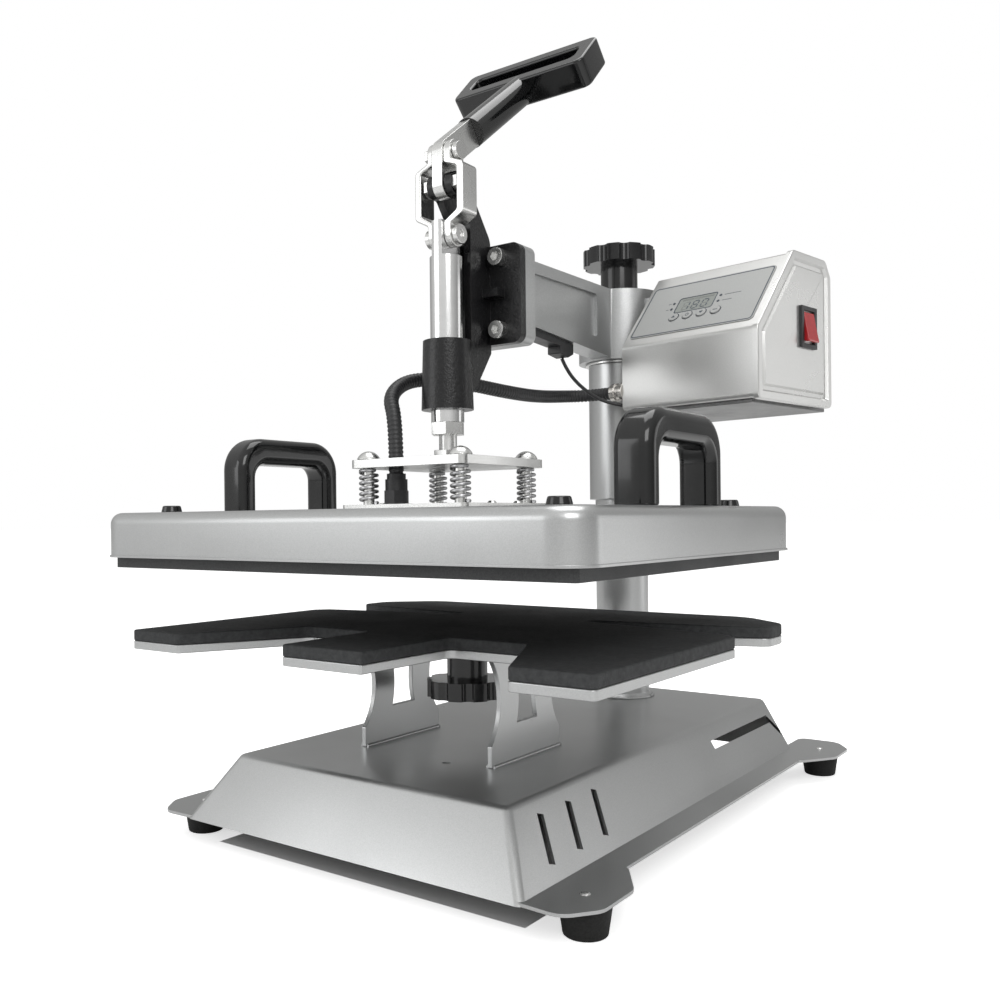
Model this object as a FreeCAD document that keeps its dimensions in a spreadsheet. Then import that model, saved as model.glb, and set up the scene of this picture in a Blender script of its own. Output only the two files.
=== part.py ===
"""Swing-away heat press with a toggle lever, built as a parametric assembly.

Frame: +Z up, z = 0 on the floor under the rubber feet, x = 0 on the machine's plane of
symmetry, +Y towards the column at the back, origin under the middle of the footprint.
Heights and x places are absolute.  Places along y are counted from the plunger's axis,
which stands at y = press_y, so every y below is written from that axis.
"""
import FreeCAD, Part
import math
import os
import re
from FreeCAD import Placement, Rotation, Vector

# ---------------------------------------------------------------- driving dimensions (mm, degrees)
DIMENSIONS = {
    # overall places
    "press_y": -104.5, "column_y": 270, "running_gap": 0.05, "body_gap": 0.3,
    # base shell
    "base_top_z": 64, "flange_z": 22, "sheet": 2, "base_top_half": 115, "base_foot_half": 141,
    "base_top_front": -99, "base_front": -126, "base_back": 323, "flange_half": 160, "base_fold": 6,
    "ear_half": 182, "ear_front": 126, "ear_back": 367,
    "vent_pitch": 32.5, "vent_width": 6, "vent_length": 30, "slot_width": 7,
    # feet
    "foot_x": 161, "foot_front": -92, "foot_back": 333, "foot_radius": 12.7, "foot_top_radius": 15.5,
    "foot_height": 18, "foot_screw_radius": 2.5,
    # column and lift sleeve
    "post_radius": 24, "post_wall": 4, "post_top": 418, "post_nut_height": 20,
    "sleeve_wall": 5, "sleeve_bottom": 247, "thrust_height": 2, "lift_travel": 8,
    # lower table
    "table_bottom": 137.5, "table_plate": 6, "table_pad": 8, "table_half": 191.5,
    "table_front": 134, "table_rear": 186, "bracket_x": 56, "bracket_plate": 4,
    "bracket_y": 12, "bracket_half": 44, "bracket_waist": 33, "bracket_foot": 14,
    "strap_height": 4, "strap_half": 20,
    "table_stud_y": 21, "table_stud_radius": 6, "table_knob_radius": 30, "table_knob_height": 13,
    "table_neck_radius": 15, "table_knob_bottom": 99.5,
    # toggle
    "pivot_z": 471.5, "crank": 23, "link_length": 60, "pin_radius": 5, "lever_half": 4.5,
    "lever_eye": 10, "link_plate": 5.5, "link_half": 8.5, "link_bulge": 11.5, "ear_plate": 6,
    "ear_eye": 8.5, "lever_rise": 38, "lever_reach": 104,
    "stem_radius": 11.5, "stem_start": 40, "grip_start": 131, "grip_rise": 46, "grip_half": 61,
    "grip_depth": 42, "grip_bar": 12, "grip_thick": 22,
    # arm
    "hub_wall": 14, "hub_bottom": 374, "hub_top": 437, "hub_roof": 8, "beam_half": 10,
    "beam_front_bottom": 387, "flange_plate_half": 38, "flange_plate_bottom": 360,
    "flange_plate_height": 74, "flange_plate": 13, "flange_front": 47, "bracket_flange": 7,
    "bolt_spacing_x": 41, "bolt_spacing_z": 54, "arm_bolt_radius": 4,
    # height knob
    "height_screw_radius": 8, "height_screw_bottom": 392, "top_knob_radius": 33,
    "top_neck_radius": 17, "top_knob_bottom": 465, "top_knob_height": 15,
    # plunger
    "plunger_radius": 12, "plunger_bottom": 300, "barrel_bottom": 309, "barrel_top": 359,
    "barrel_radius": 19, "barrel_top_radius": 17.5, "stud_radius": 6.5, "lock_nut_across": 22,
    "lock_nut_height": 9, "seat_nut_height": 7,
    "press_plate_half": 50.5, "press_plate": 6, "press_plate_bottom": 267,
    # heated platen
    "heater_half_x": 190, "heater_half_y": 148, "heater_plate": 12, "pad_gap": 0.4,
    "cover_half_x": 197.5, "cover_half_y": 157, "cover_bottom": 205.5, "cover_top": 237,
    "cover_sheet": 1.5, "cover_corner": 22, "cover_edge": 8,
    "stiffener_half": 55, "stiffener": 4, "float_bolt_place": 40.7, "float_bolt_radius": 4,
    "float_travel": 5, "spring_radius": 6, "spring_wire": 1.2, "spring_turns": 6,
    "cap_x": 163, "cap_y": 119, "cap_radius": 7.5, "cap_height": 5,
    "carry_x": 172, "carry_half": 55, "carry_top": 296, "carry_width": 26, "carry_bar": 17,
    "gland_x": -24, "gland_y": -30, "conduit_radius": 5.5,
    # controller
    "box_x": 38, "box_y": 200, "box_z": 322, "box_turn": -9.7, "box_width": 124, "box_depth": 118,
    "box_front": 54, "box_height": 121, "box_slope": 56, "box_sheet": 1.5, "end_cap": 5,
    "panel_margin": 4, "button_radius": 4.2, "button_travel": 0.8,
    "rocker_v": 78, "rocker_z": 62, "rocker_frame_half_v": 13, "rocker_frame_half_z": 17,
    "rocker_half_v": 8.5, "rocker_half_z": 12.5,
}

document = FreeCAD.newDocument("heat_press")
sheet = document.addObject("Spreadsheet::Sheet", "dims")
for row, (alias, number) in enumerate(DIMENSIONS.items(), start=1):
    sheet.set("A%d" % row, alias)
    sheet.set("B%d" % row, str(number))
    sheet.setAlias("B%d" % row, alias)
document.recompute()


class Size:
    """The driving dimensions as plain numbers, for shapes that need arithmetic."""


size = Size()
for alias, number in DIMENSIONS.items():
    setattr(size, alias, float(number))

PARTS = {}


# ---------------------------------------------------------------- helpers
def cells(expression):
    """Write a formula of dimension names as one that reads the spreadsheet."""
    def in_sheet(match):
        word = match.group(0)
        return "dims." + word if word in DIMENSIONS else word
    return re.sub(r"[a-z][a-z_]*", in_sheet, str(expression))


def bind(thing, **formulas):
    for prop, expression in formulas.items():
        thing.setExpression(prop.replace("__", "."), cells(expression))
    return thing


def keep(name, thing):
    """Name a finished piece; its label becomes the name of its file."""
    thing.Label = name
    PARTS[name] = thing
    return thing


def add(kind, x=0, y=0, z=0, rotation=None):
    """A primitive at x, y (from the plunger's axis), z, turned by rotation."""
    thing = document.addObject(kind, kind.split("::")[1].lower())
    if rotation is not None:
        thing.Placement = Placement(Vector(), rotation)
    thing.setExpression(".Placement.Base.x", cells(x))
    thing.setExpression(".Placement.Base.y", cells("press_y + (%s)" % y))
    thing.setExpression(".Placement.Base.z", cells(z))
    return thing


def box(x0, x1, y0, y1, z0, z1):
    """A block between two corners, each given as a formula."""
    thing = add("Part::Box", x0, y0, z0)
    return bind(thing, Length="(%s) - (%s)" % (x1, x0), Width="(%s) - (%s)" % (y1, y0),
                Height="(%s) - (%s)" % (z1, z0))


ALONG_Z = Rotation()
ALONG_X = Rotation(Vector(0, 1, 0), 90)
ALONG_Y = Rotation(Vector(1, 0, 0), -90)


def cylinder(radius, height, x=0, y=0, z=0, along=ALONG_Z):
    thing = add("Part::Cylinder", x, y, z, along)
    return bind(thing, Radius=radius, Height=height)


def cone(radius_low, radius_high, height, x=0, y=0, z=0):
    thing = add("Part::Cone", x, y, z)
    return bind(thing, Radius1=radius_low, Radius2=radius_high, Height=height)


def hexagon(across, height, x=0, y=0, z=0, along=ALONG_Z):
    thing = add("Part::Prism", x, y, z, along)
    thing.Polygon = 6
    return bind(thing, Circumradius="(%s) / 2 / cos(30)" % across, Height=height)


def cut(base, *tools):
    for tool in tools:
        result = document.addObject("Part::Cut", "cut")
        result.Base = base
        result.Tool = tool
        base = result
    return base


def fuse(*shapes):
    result = document.addObject("Part::MultiFuse", "fuse")
    result.Shapes = list(shapes)
    return result


def group(*shapes):
    """Separate solids that share one node, such as a set of equal screws."""
    result = document.addObject("Part::Compound", "group")
    result.Links = list(shapes)
    return result


def common(first, second):
    result = document.addObject("Part::Common", "common")
    result.Base = first
    result.Tool = second
    return result


def mirrored(source):
    result = document.addObject("Part::Mirroring", "mirror")
    result.Source = source
    result.Base = Vector()
    result.Normal = Vector(1, 0, 0)
    return result


def rounded(points, radii):
    """Edges of a closed outline whose corners are rounded, one radius for each point."""
    count = len(points)
    if not isinstance(radii, (list, tuple)):
        radii = [radii] * count
    starts, ends, arcs = [], [], []
    for i, (x, y) in enumerate(points):
        corner = Vector(x, y, 0)
        before = Vector(points[i - 1][0], points[i - 1][1], 0) - corner
        after = Vector(points[(i + 1) % count][0], points[(i + 1) % count][1], 0) - corner
        half_angle = before.getAngle(after) / 2
        reach = radii[i] / math.tan(half_angle)
        first = corner + before.normalize() * reach
        last = corner + after.normalize() * reach
        inward = (before + after)
        if radii[i] > 0:
            inward.normalize()
            centre = corner + inward * (radii[i] / math.sin(half_angle))
            middle = centre - inward * radii[i]
            arcs.append(Part.Arc(first, middle, last))
        else:
            arcs.append(None)
        starts.append(first)
        ends.append(last)
    edges = []
    for i in range(count):
        if arcs[i] is not None:
            edges.append(arcs[i])
        here, there = ends[i], starts[(i + 1) % count]
        if here.distanceToPoint(there) > 1e-6:
            edges.append(Part.LineSegment(here, there))
    return edges


def ring(x, y, radius):
    return [Part.Circle(Vector(x, y, 0), Vector(0, 0, 1), radius)]


def plate(plane, outlines, length, level, middle=False):
    """A body padded from a sketch on one of its own planes.

    plane XY pads up from z = level, YZ pads along +x from x = level and XZ pads towards
    the front from y = level.  With middle, the pad grows both ways from the level.
    """
    body = document.addObject("PartDesign::Body", "plate")
    sketch = body.newObject("Sketcher::SketchObject", "outline")
    origin = [f for f in body.Origin.OriginFeatures if f.Role == plane + "_Plane"][0]
    sketch.AttachmentSupport = [(origin, "")]
    sketch.MapMode = "FlatFace"
    height = level if plane != "XZ" else "-(%s)" % level
    sketch.setExpression("AttachmentOffset.Base.z", cells(height))
    for outline in outlines:
        for edge in outline:
            sketch.addGeometry(edge, False)
    pad = body.newObject("PartDesign::Pad", "pad")
    pad.Profile = sketch
    pad.setExpression("Length", cells(length))
    pad.Midplane = middle
    sketch.Visibility = False
    body.setExpression(".Placement.Base.y", cells("press_y"))
    return body


def soften(base, radius, choose):
    """Round the edges of a finished piece that choose(edge) picks."""
    document.recompute()
    result = document.addObject("Part::Fillet", "fillet")
    result.Base = base
    numbers = [i + 1 for i, edge in enumerate(base.Shape.Edges) if choose(edge)]
    result.Edges = [(number, radius, radius) for number in numbers]
    return result


def is_upright(edge):
    ends = [vertex.Point for vertex in edge.Vertexes]
    if len(ends) < 2:
        return False
    run = ends[1] - ends[0]
    return abs(run.z) > 0.99 * run.Length and run.Length > 1


def tube_along(points, radius):
    """A round tube along straight runs joined by tangent arcs, with its bend radii."""
    nodes = [Vector(*point) for point in points]
    edges, bends = [], []
    last = nodes[0]
    for i in range(1, len(nodes) - 1):
        back, ahead = nodes[i - 1] - nodes[i], nodes[i + 1] - nodes[i]
        shorter = min(back.Length, ahead.Length)
        half_turn = (math.pi - back.getAngle(ahead)) / 2
        bend = 0.45 * shorter / math.tan(half_turn)
        reach = 0.45 * shorter
        back.normalize()
        ahead.normalize()
        first = nodes[i] + back * reach
        final = nodes[i] + ahead * reach
        inward = (back + ahead).normalize()
        centre = nodes[i] + inward * (bend / math.cos(half_turn))
        edges.append(Part.LineSegment(last, first).toShape())
        edges.append(Part.Arc(first, centre - inward * bend, final).toShape())
        bends.append(round(bend, 1))
        last = final
    edges.append(Part.LineSegment(last, nodes[-1]).toShape())
    path = Part.Wire(edges)
    start = Part.Wire([Part.Circle(nodes[0], nodes[1] - nodes[0], radius).toShape()])
    pipe = path.makePipeShell([start], True, False)
    return pipe, bends, path.Length


def cord(name, points, radius):
    shape, bends, length = tube_along(points, radius)
    expected = math.pi * radius ** 2 * length
    print(name, "bend radii", bends, "volume ratio", round(shape.Volume / expected, 4))
    feature = document.addObject("Part::Feature", name)
    feature.Shape = shape
    feature.Placement = Placement(Vector(0, size.press_y, 0), Rotation())
    return keep(name, feature)


def in_controller(thing):
    """Seat a piece that was built in the controller's own frame: u right, v back, z up."""
    if thing.TypeId in ("Part::Box", "Part::Cylinder"):
        thing = group(thing)
    place = Placement(Vector(), Rotation(Vector(0, 0, 1), size.box_turn))
    thing.Placement = place
    thing.setExpression(".Placement.Base.x", cells("box_x"))
    thing.setExpression(".Placement.Base.y", cells("press_y + box_y"))
    thing.setExpression(".Placement.Base.z", cells("box_z"))
    return thing


def local_box(u0, u1, v0, v1, z0, z1):
    """A block in a frame of its own, for a piece that is placed as a whole later."""
    thing = document.addObject("Part::Box", "box")
    bind(thing, Length="(%s) - (%s)" % (u1, u0), Width="(%s) - (%s)" % (v1, v0),
         Height="(%s) - (%s)" % (z1, z0))
    thing.setExpression(".Placement.Base.x", cells(u0))
    thing.setExpression(".Placement.Base.y", cells(v0))
    thing.setExpression(".Placement.Base.z", cells(z0))
    return thing


def local_cylinder(radius, height, u, v, z, along=ALONG_Z):
    thing = document.addObject("Part::Cylinder", "cylinder")
    thing.Placement = Placement(Vector(), along)
    bind(thing, Radius=radius, Height=height)
    thing.setExpression(".Placement.Base.x", cells(u))
    thing.setExpression(".Placement.Base.y", cells(v))
    thing.setExpression(".Placement.Base.z", cells(z))
    return thing


def local_plate(outlines, length, level):
    """A body padded along u from its v-z plane, for a piece placed as a whole later."""
    body = plate("YZ", outlines, length, level)
    body.setExpression(".Placement.Base.y", None)
    body.Placement = Placement()
    return body


def star_knob(radius, neck_radius, lobes, z_star, star_height, z_neck_low, z_neck_high, y):
    """A lobed knob with its neck: a disc whose rim is scalloped between the lobes."""
    disc = cylinder(radius, star_height, 0, y, z_star)
    bites = []
    for i in range(lobes):
        angle = 360.0 * (i + 0.5) / lobes
        reach = "(%s) * 1.08" % radius
        bites.append(cylinder("(%s) * 0.17" % radius, star_height,
                              "%s * cos(%s)" % (reach, angle),
                              "(%s) + %s * sin(%s)" % (y, reach, angle), z_star))
    neck = cylinder(neck_radius, "(%s) - (%s)" % (z_neck_high, z_neck_low), 0, y, z_neck_low)
    return fuse(cut(disc, group(*bites)), neck)


# ---------------------------------------------------------------- base
def slope_block(top_half, foot_half, front_top, front_foot, back, z_low, z_high):
    """A block whose sides and front lean in and whose back stands upright."""
    thing = document.addObject("Part::Wedge", "wedge")
    thing.Placement = Placement(Vector(), Rotation(Vector(1, 0, 0), 90))
    thing.setExpression(".Placement.Base.y", cells("press_y"))
    bind(thing, Xmin="-(%s)" % foot_half, Xmax=foot_half, X2min="-(%s)" % top_half,
         X2max=top_half, Ymin=z_low, Ymax=z_high, Zmin="-(%s)" % back,
         Zmax="-(%s)" % front_foot, Z2min="-(%s)" % back, Z2max="-(%s)" % front_top)
    return thing


def ear_outline(side, front):
    """Plan of one foot ear, wrapping the end of the side flange."""
    inner = size.base_foot_half - 8
    if front:
        points = [(inner, -size.ear_front + 2), (size.foot_x + 4, -size.ear_front),
                  (size.ear_half - 2, size.foot_front - 14), (size.ear_half - 2, size.foot_front + 22),
                  (size.flange_half, size.foot_front + 54), (inner, size.foot_front + 54)]
    else:
        points = [(inner, size.foot_back - 56), (size.flange_half, size.foot_back - 56),
                  (size.ear_half, size.foot_back - 24), (size.ear_half, size.foot_back + 12),
                  (size.foot_x + 6, size.ear_back), (inner, size.ear_back)]
    radii = [1, 14, 14, 14, 14, 1] if front else [1, 14, 14, 14, 14, 8]
    return rounded([(side * x, y) for x, y in points], radii)


def make_base():
    outer = slope_block("base_top_half", "base_foot_half", "base_top_front", "base_front",
                        "base_back", "flange_z - sheet", "base_top_z")
    lean = "(base_foot_half - base_top_half) / (base_top_z - flange_z + sheet)"
    inner = slope_block("base_top_half - 1.18 * sheet + %s * sheet" % lean,
                        "base_foot_half - 1.18 * sheet",
                        "base_top_front + 1.18 * sheet - %s * sheet" % lean,
                        "base_front + 1.18 * sheet", "base_back - sheet",
                        "flange_z - sheet", "base_top_z - sheet")
    def folded(edge):
        return edge.BoundBox.ZMax > size.base_top_z - size.sheet - 1

    shell = cut(soften(outer, size.base_fold, folded),
                soften(inner, size.base_fold - size.sheet, folded))
    walls = [shell]
    for side in (-1, 1):
        low = "base_foot_half - 2 * sheet"
        spans = (low, "flange_half") if side > 0 else ("-flange_half", "-(%s)" % low)
        walls.append(box(spans[0], spans[1], "foot_front + 30", "foot_back - 30",
                         "flange_z - sheet", "flange_z"))
        for front in (True, False):
            walls.append(plate("XY", [ear_outline(side, front)], "sheet", "flange_z - sheet"))
    body = fuse(*walls)
    tools = []
    for x, y in foot_places():
        tools.append(cylinder("foot_screw_radius + 0.1", "4 * sheet", x, y, "flange_z - 3 * sheet"))
    lean_angle = math.degrees(math.atan2(size.base_top_z - size.flange_z,
                                         size.base_foot_half - size.base_top_half))
    for side in (-1, 1):
        for i in range(3):
            tools.append(side_slot(side, -78 + i * size.vent_pitch, size.vent_length, size.vent_width,
                                   lean_angle, -20))
        tools.append(side_slot(side, 244, size.slot_width, 126, lean_angle, 0, 6))
        tools.append(side_slot(side, 312, 22, 5, lean_angle, 38, -1))
    tools.append(cylinder(3, "4 * sheet", 23, -36, "base_top_z - 3 * sheet"))
    keep("base_shell", cut(body, group(*tools)))


def side_slot(side, y, length_z, length_y, lean, turn, shift=0):
    """A slot cutter through a leaning side wall, turned within the wall's plane."""
    cutter = document.addObject("Part::Box", "slot")
    cutter.Length, cutter.Width, cutter.Height = 16, length_y, length_z
    middle_x = (size.base_top_half + size.base_foot_half) / 2
    middle_z = (size.base_top_z + size.flange_z) / 2 + shift
    centre = Vector(side * (middle_x - shift * 0.62), size.press_y + y, middle_z)
    tilt = Rotation(Vector(0, 1, 0), -side * (90 - lean))
    spin = Rotation(Vector(1, 0, 0), turn)
    turned = tilt.multiply(spin)
    corner = turned.multVec(Vector(-8, -length_y / 2, -length_z / 2))
    cutter.Placement = Placement(centre + corner, turned)
    return cutter


def foot_places():
    return [(x, y) for x in ("-foot_x", "foot_x") for y in ("foot_front", "foot_back")]


def make_feet():
    feet, washers, screws = [], [], []
    for x, y in foot_places():
        pad = cone("foot_radius", "foot_top_radius", "foot_height", x, y, 0)
        hole = cylinder("foot_screw_radius + 0.1", 13, x, y, "foot_height - 12")
        feet.append(cut(pad, hole))
        disc = cylinder("foot_top_radius - 2", "flange_z - sheet - foot_height", x, y, "foot_height")
        washers.append(cut(disc, cylinder("foot_screw_radius + 0.1", 6, x, y, "foot_height - 2")))
        shank = cylinder("foot_screw_radius", "flange_z - 8", x, y, 8)
        screws.append(fuse(shank, cone(3.4, 2.2, 1.1, x, y, "flange_z")))
    keep("rubber_feet", group(*feet))
    keep("foot_fasteners", group(*washers, *screws))


def make_column():
    tube = cylinder("post_radius", "post_top - base_top_z", 0, "column_y", "base_top_z")
    weld = cone("post_radius + 4", "post_radius", 4, 0, "column_y", "base_top_z")
    bore = cylinder("post_radius - post_wall", "post_top - base_top_z + 2", 0, "column_y", "base_top_z - 1")
    keep("column_post", cut(fuse(tube, weld), bore))
    nut = cylinder("post_radius - post_wall - running_gap", "post_nut_height", 0, "column_y",
                   "post_top - post_nut_height")
    nut_bore = cylinder("height_screw_radius + running_gap", "post_nut_height + 2", 0, "column_y",
                        "post_top - post_nut_height - 1")
    keep("column_screw_nut", cut(nut, nut_bore))


# ---------------------------------------------------------------- lower table
def table_outline():
    """Plan of the table: three fingers at the front, two side slots, a rounded rear lobe."""
    half, front, rear = size.table_half, size.table_front, size.table_rear
    finger_root = -47
    right = [(half, -front), (half, 55), (182, 65), (60, 92), (60, 100), (166, 113), (half, 121),
             (half, 151), (152, rear)]
    corner = [4, 5, 3, 4, 4, 12, 8, 22, 40]
    notch = [(35, finger_root), (96, finger_root), (139, -front)]
    notch_corner = [7, 8, 4]
    points = [(34, -front)] + notch + right
    radii = [2] + notch_corner + corner
    left = [(-x, y) for x, y in reversed(points)]
    return rounded(points + left, radii + list(reversed(radii)))


def bracket_outlines():
    """Side view of one table bracket: an hourglass plate on an upright foot, with a window."""
    middle, half, waist = size.bracket_y, size.bracket_half, size.bracket_waist
    floor, high = size.base_top_z, size.table_bottom
    low = floor + size.bracket_foot
    waist_z = low + (high - low) * 0.6
    def side(sign, wide, narrow, z0, z1):
        return Part.Arc(Vector(middle + sign * wide, z0, 0), Vector(middle + sign * narrow, waist_z, 0),
                        Vector(middle + sign * wide, z1, 0))
    def bar(z, wide):
        return Part.LineSegment(Vector(middle - wide, z, 0), Vector(middle + wide, z, 0))
    outer = [side(-1, half, waist, low, high), side(1, half, waist, low, high),
             bar(floor, half), bar(high, half)]
    for sign in (-1, 1):
        outer.append(Part.LineSegment(Vector(middle + sign * half, floor, 0),
                                      Vector(middle + sign * half, low, 0)))
    z0, z1 = floor + 26, high - 10
    window = [side(-1, 13, 10.5, z0, z1), side(1, 13, 10.5, z0, z1), bar(z0, 13), bar(z1, 13)]
    return [outer, window]


def make_table():
    stud_hole = ring(0, size.table_stud_y, size.table_stud_radius + 0.5)
    keep("table_plate", plate("XY", [table_outline()], "table_plate", "table_bottom"))
    keep("table_pad", plate("XY", [table_outline()], "table_pad", "table_bottom + table_plate"))
    keep("table_brackets", group(*[
        plate("YZ", bracket_outlines(), "bracket_plate", "%d * bracket_x" % side, True)
        for side in (-1, 1)]))
    inner = size.bracket_x - size.bracket_plate / 2
    strap_outline = rounded([(-inner, size.bracket_y - size.strap_half),
                             (inner, size.bracket_y - size.strap_half),
                             (inner, size.bracket_y + size.strap_half),
                             (-inner, size.bracket_y + size.strap_half)], 0)
    keep("table_strap", plate("XY", [strap_outline, stud_hole], "strap_height",
                              "table_bottom - strap_height"))
    keep("table_stud", cylinder("table_stud_radius", "table_bottom - table_knob_bottom - 6", 0,
                                "table_stud_y", "table_knob_bottom + 6"))
    knob = star_knob("table_knob_radius", "table_neck_radius", 10, "table_knob_bottom",
                     "table_knob_height", "table_knob_bottom + table_knob_height",
                     "table_bottom - strap_height - body_gap", "table_stud_y")
    bore = cylinder("table_stud_radius + running_gap", 60, 0, "table_stud_y", "table_knob_bottom + 5")
    keep("table_clamp_knob", cut(knob, bore))


# ---------------------------------------------------------------- lift sleeve and arm
def make_sleeve():
    top = "hub_bottom - body_gap - thrust_height"
    tube = cylinder("post_radius + sleeve_wall", "%s - sleeve_bottom" % top, 0, "column_y", "sleeve_bottom")
    bore = cylinder("post_radius + running_gap", 200, 0, "column_y", "sleeve_bottom - 1")
    keep("lift_sleeve", cut(tube, bore))
    washer = cylinder("post_radius + sleeve_wall + 3", "thrust_height", 0, "column_y", top)
    washer_bore = cylinder("post_radius + running_gap", 10, 0, "column_y", "hub_bottom - 8")
    keep("thrust_washer", cut(washer, washer_bore))


def make_arm():
    back = size.column_y - 20
    top, low, front_low = size.hub_top, size.hub_bottom, size.beam_front_bottom
    front = size.flange_front + size.flange_plate - 4
    beam = plate("YZ", [rounded([(front, top - 1), (front, front_low), (back, low), (back, top)], 0)],
                 "2 * beam_half", 0, True)
    hub = cylinder("post_radius + hub_wall", "hub_top - hub_bottom", 0, "column_y", "hub_bottom")
    half, z0 = size.flange_plate_half, size.flange_plate_bottom
    z1 = z0 + size.flange_plate_height
    face = plate("XZ", [rounded([(-half, z0), (half, z0), (half, z1), (-half, z1)], 7)],
                 "flange_plate", "flange_front + flange_plate")
    lug = in_controller(local_box(-24, 0, 52, 92, 58, 106))
    body = fuse(beam, hub, face, lug)
    tools = []
    panel = [(front + 8, 398), (size.column_y - 62, 390), (size.column_y - 62, 428), (front + 8, 426)]
    for level in ("beam_half - 3", "-beam_half - 1"):
        tools.append(plate("YZ", [rounded(panel, 3)], 4, level))
    tools.append(cylinder("post_radius + running_gap", "hub_top - hub_roof - hub_bottom + 1", 0,
                          "column_y", "hub_bottom - 1"))
    tools.append(cylinder("height_screw_radius + running_gap", 20, 0, "column_y", "hub_top - 14"))
    for x, z in arm_bolt_places():
        tools.append(cylinder("arm_bolt_radius + 0.1", 14, x, "flange_front - 1", z, ALONG_Y))
    for v in (60, 84):
        tools.append(in_controller(local_cylinder(2.6, 16, -15, v, 82, ALONG_X)))
    body = cut(body, group(*tools))
    keep("arm_casting", body)


def arm_bolt_places():
    middle = "flange_plate_bottom + flange_plate_height / 2"
    return [("%d * bolt_spacing_x / 2" % i, "%s + %d * bolt_spacing_z / 2" % (middle, j))
            for i in (-1, 1) for j in (-1, 1)]


def make_bracket():
    """The black toggle casting: guide barrel, two cheeks with ears, and its flange."""
    half, z0 = size.flange_plate_half, size.flange_plate_bottom
    z1 = z0 + size.flange_plate_height
    flange = plate("XZ", [rounded([(-half, z0), (half, z0), (half, z1), (-half, z1)], 7)],
                   "bracket_flange", "flange_front")
    barrel = cone("barrel_radius", "barrel_top_radius", "barrel_top - barrel_bottom", 0, 0,
                  "barrel_bottom")
    eye, top = size.ear_eye, size.pivot_z
    back = size.flange_front - size.bracket_flange + 1
    cheek = [(15, 320), (24, 330), (back, z0 - 6), (back, z1 + 4), (eye + 1, top + eye),
             (-eye, top + eye), (-eye, top - eye), (3, top - eye), (15.5, top - 25), (15.5, 380)]
    cheek_round = [0, 5, 0, 12, 8, eye - 0.2, eye - 0.2, 4, 6, 0]
    cheeks = [plate("YZ", [rounded(cheek, cheek_round)], "ear_plate", level)
              for level in ("lever_half + body_gap", "-lever_half - body_gap - ear_plate")]
    web = plate("YZ", [rounded([(17, 325), (back, z0 + 2), (back, z1), (26, z1)], 0)],
                "2 * lever_half + 2 * body_gap", 0, True)
    ribs = [box(x0, x1, 30, "flange_front - bracket_flange + 1", "flange_plate_bottom + 34",
                "flange_plate_bottom + 40") for x0, x1 in ((8, 24), (-24, -8))]
    body = fuse(flange, barrel, web, *(cheeks + ribs))
    tools = [cylinder("plunger_radius + running_gap", 60, 0, 0, "barrel_bottom - 1"),
             cylinder("plunger_radius + body_gap", 90, 0, 0, "barrel_top"),
             cylinder("pin_radius + running_gap", 60, -30, 0, "pivot_z", ALONG_X)]
    for x, z in arm_bolt_places():
        tools.append(cylinder("arm_bolt_radius + 0.1", 20, x, "flange_front - 10", z, ALONG_Y))
    keep("toggle_bracket", cut(body, group(*tools)))

    bolts = []
    for x, z in arm_bolt_places():
        head = cylinder(6.5, 8, x, "flange_front - bracket_flange - 8", z, ALONG_Y)
        socket = hexagon(6, 4.5, x, "flange_front - bracket_flange - 9", z, ALONG_Y)
        shank = cylinder("arm_bolt_radius", "bracket_flange + 9", x,
                         "flange_front - bracket_flange", z, ALONG_Y)
        bolts.append(fuse(cut(head, socket), shank))
    keep("arm_bolts", group(*bolts))

    outer = "lever_half + body_gap + ear_plate"
    pin = cylinder("pin_radius", "2 * (%s)" % outer, "-(%s)" % outer, 0, "pivot_z", ALONG_X)
    head = hexagon(13, 4, outer, 0, "pivot_z", ALONG_X)
    nut = hexagon(13, 4, "-(%s) - 4" % outer, 0, "pivot_z", ALONG_X)
    keep("fulcrum_pin", fuse(pin, head, nut))


# ---------------------------------------------------------------- toggle lever and links
def lever_frame(reach, side):
    """A point along the bent part of the lever, reach from the crank pin, side across it."""
    rise = math.radians(size.lever_rise)
    z_pin = size.pivot_z + size.crank
    return (reach * math.cos(rise) - side * math.sin(rise),
            z_pin + reach * math.sin(rise) + side * math.cos(rise))


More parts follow.
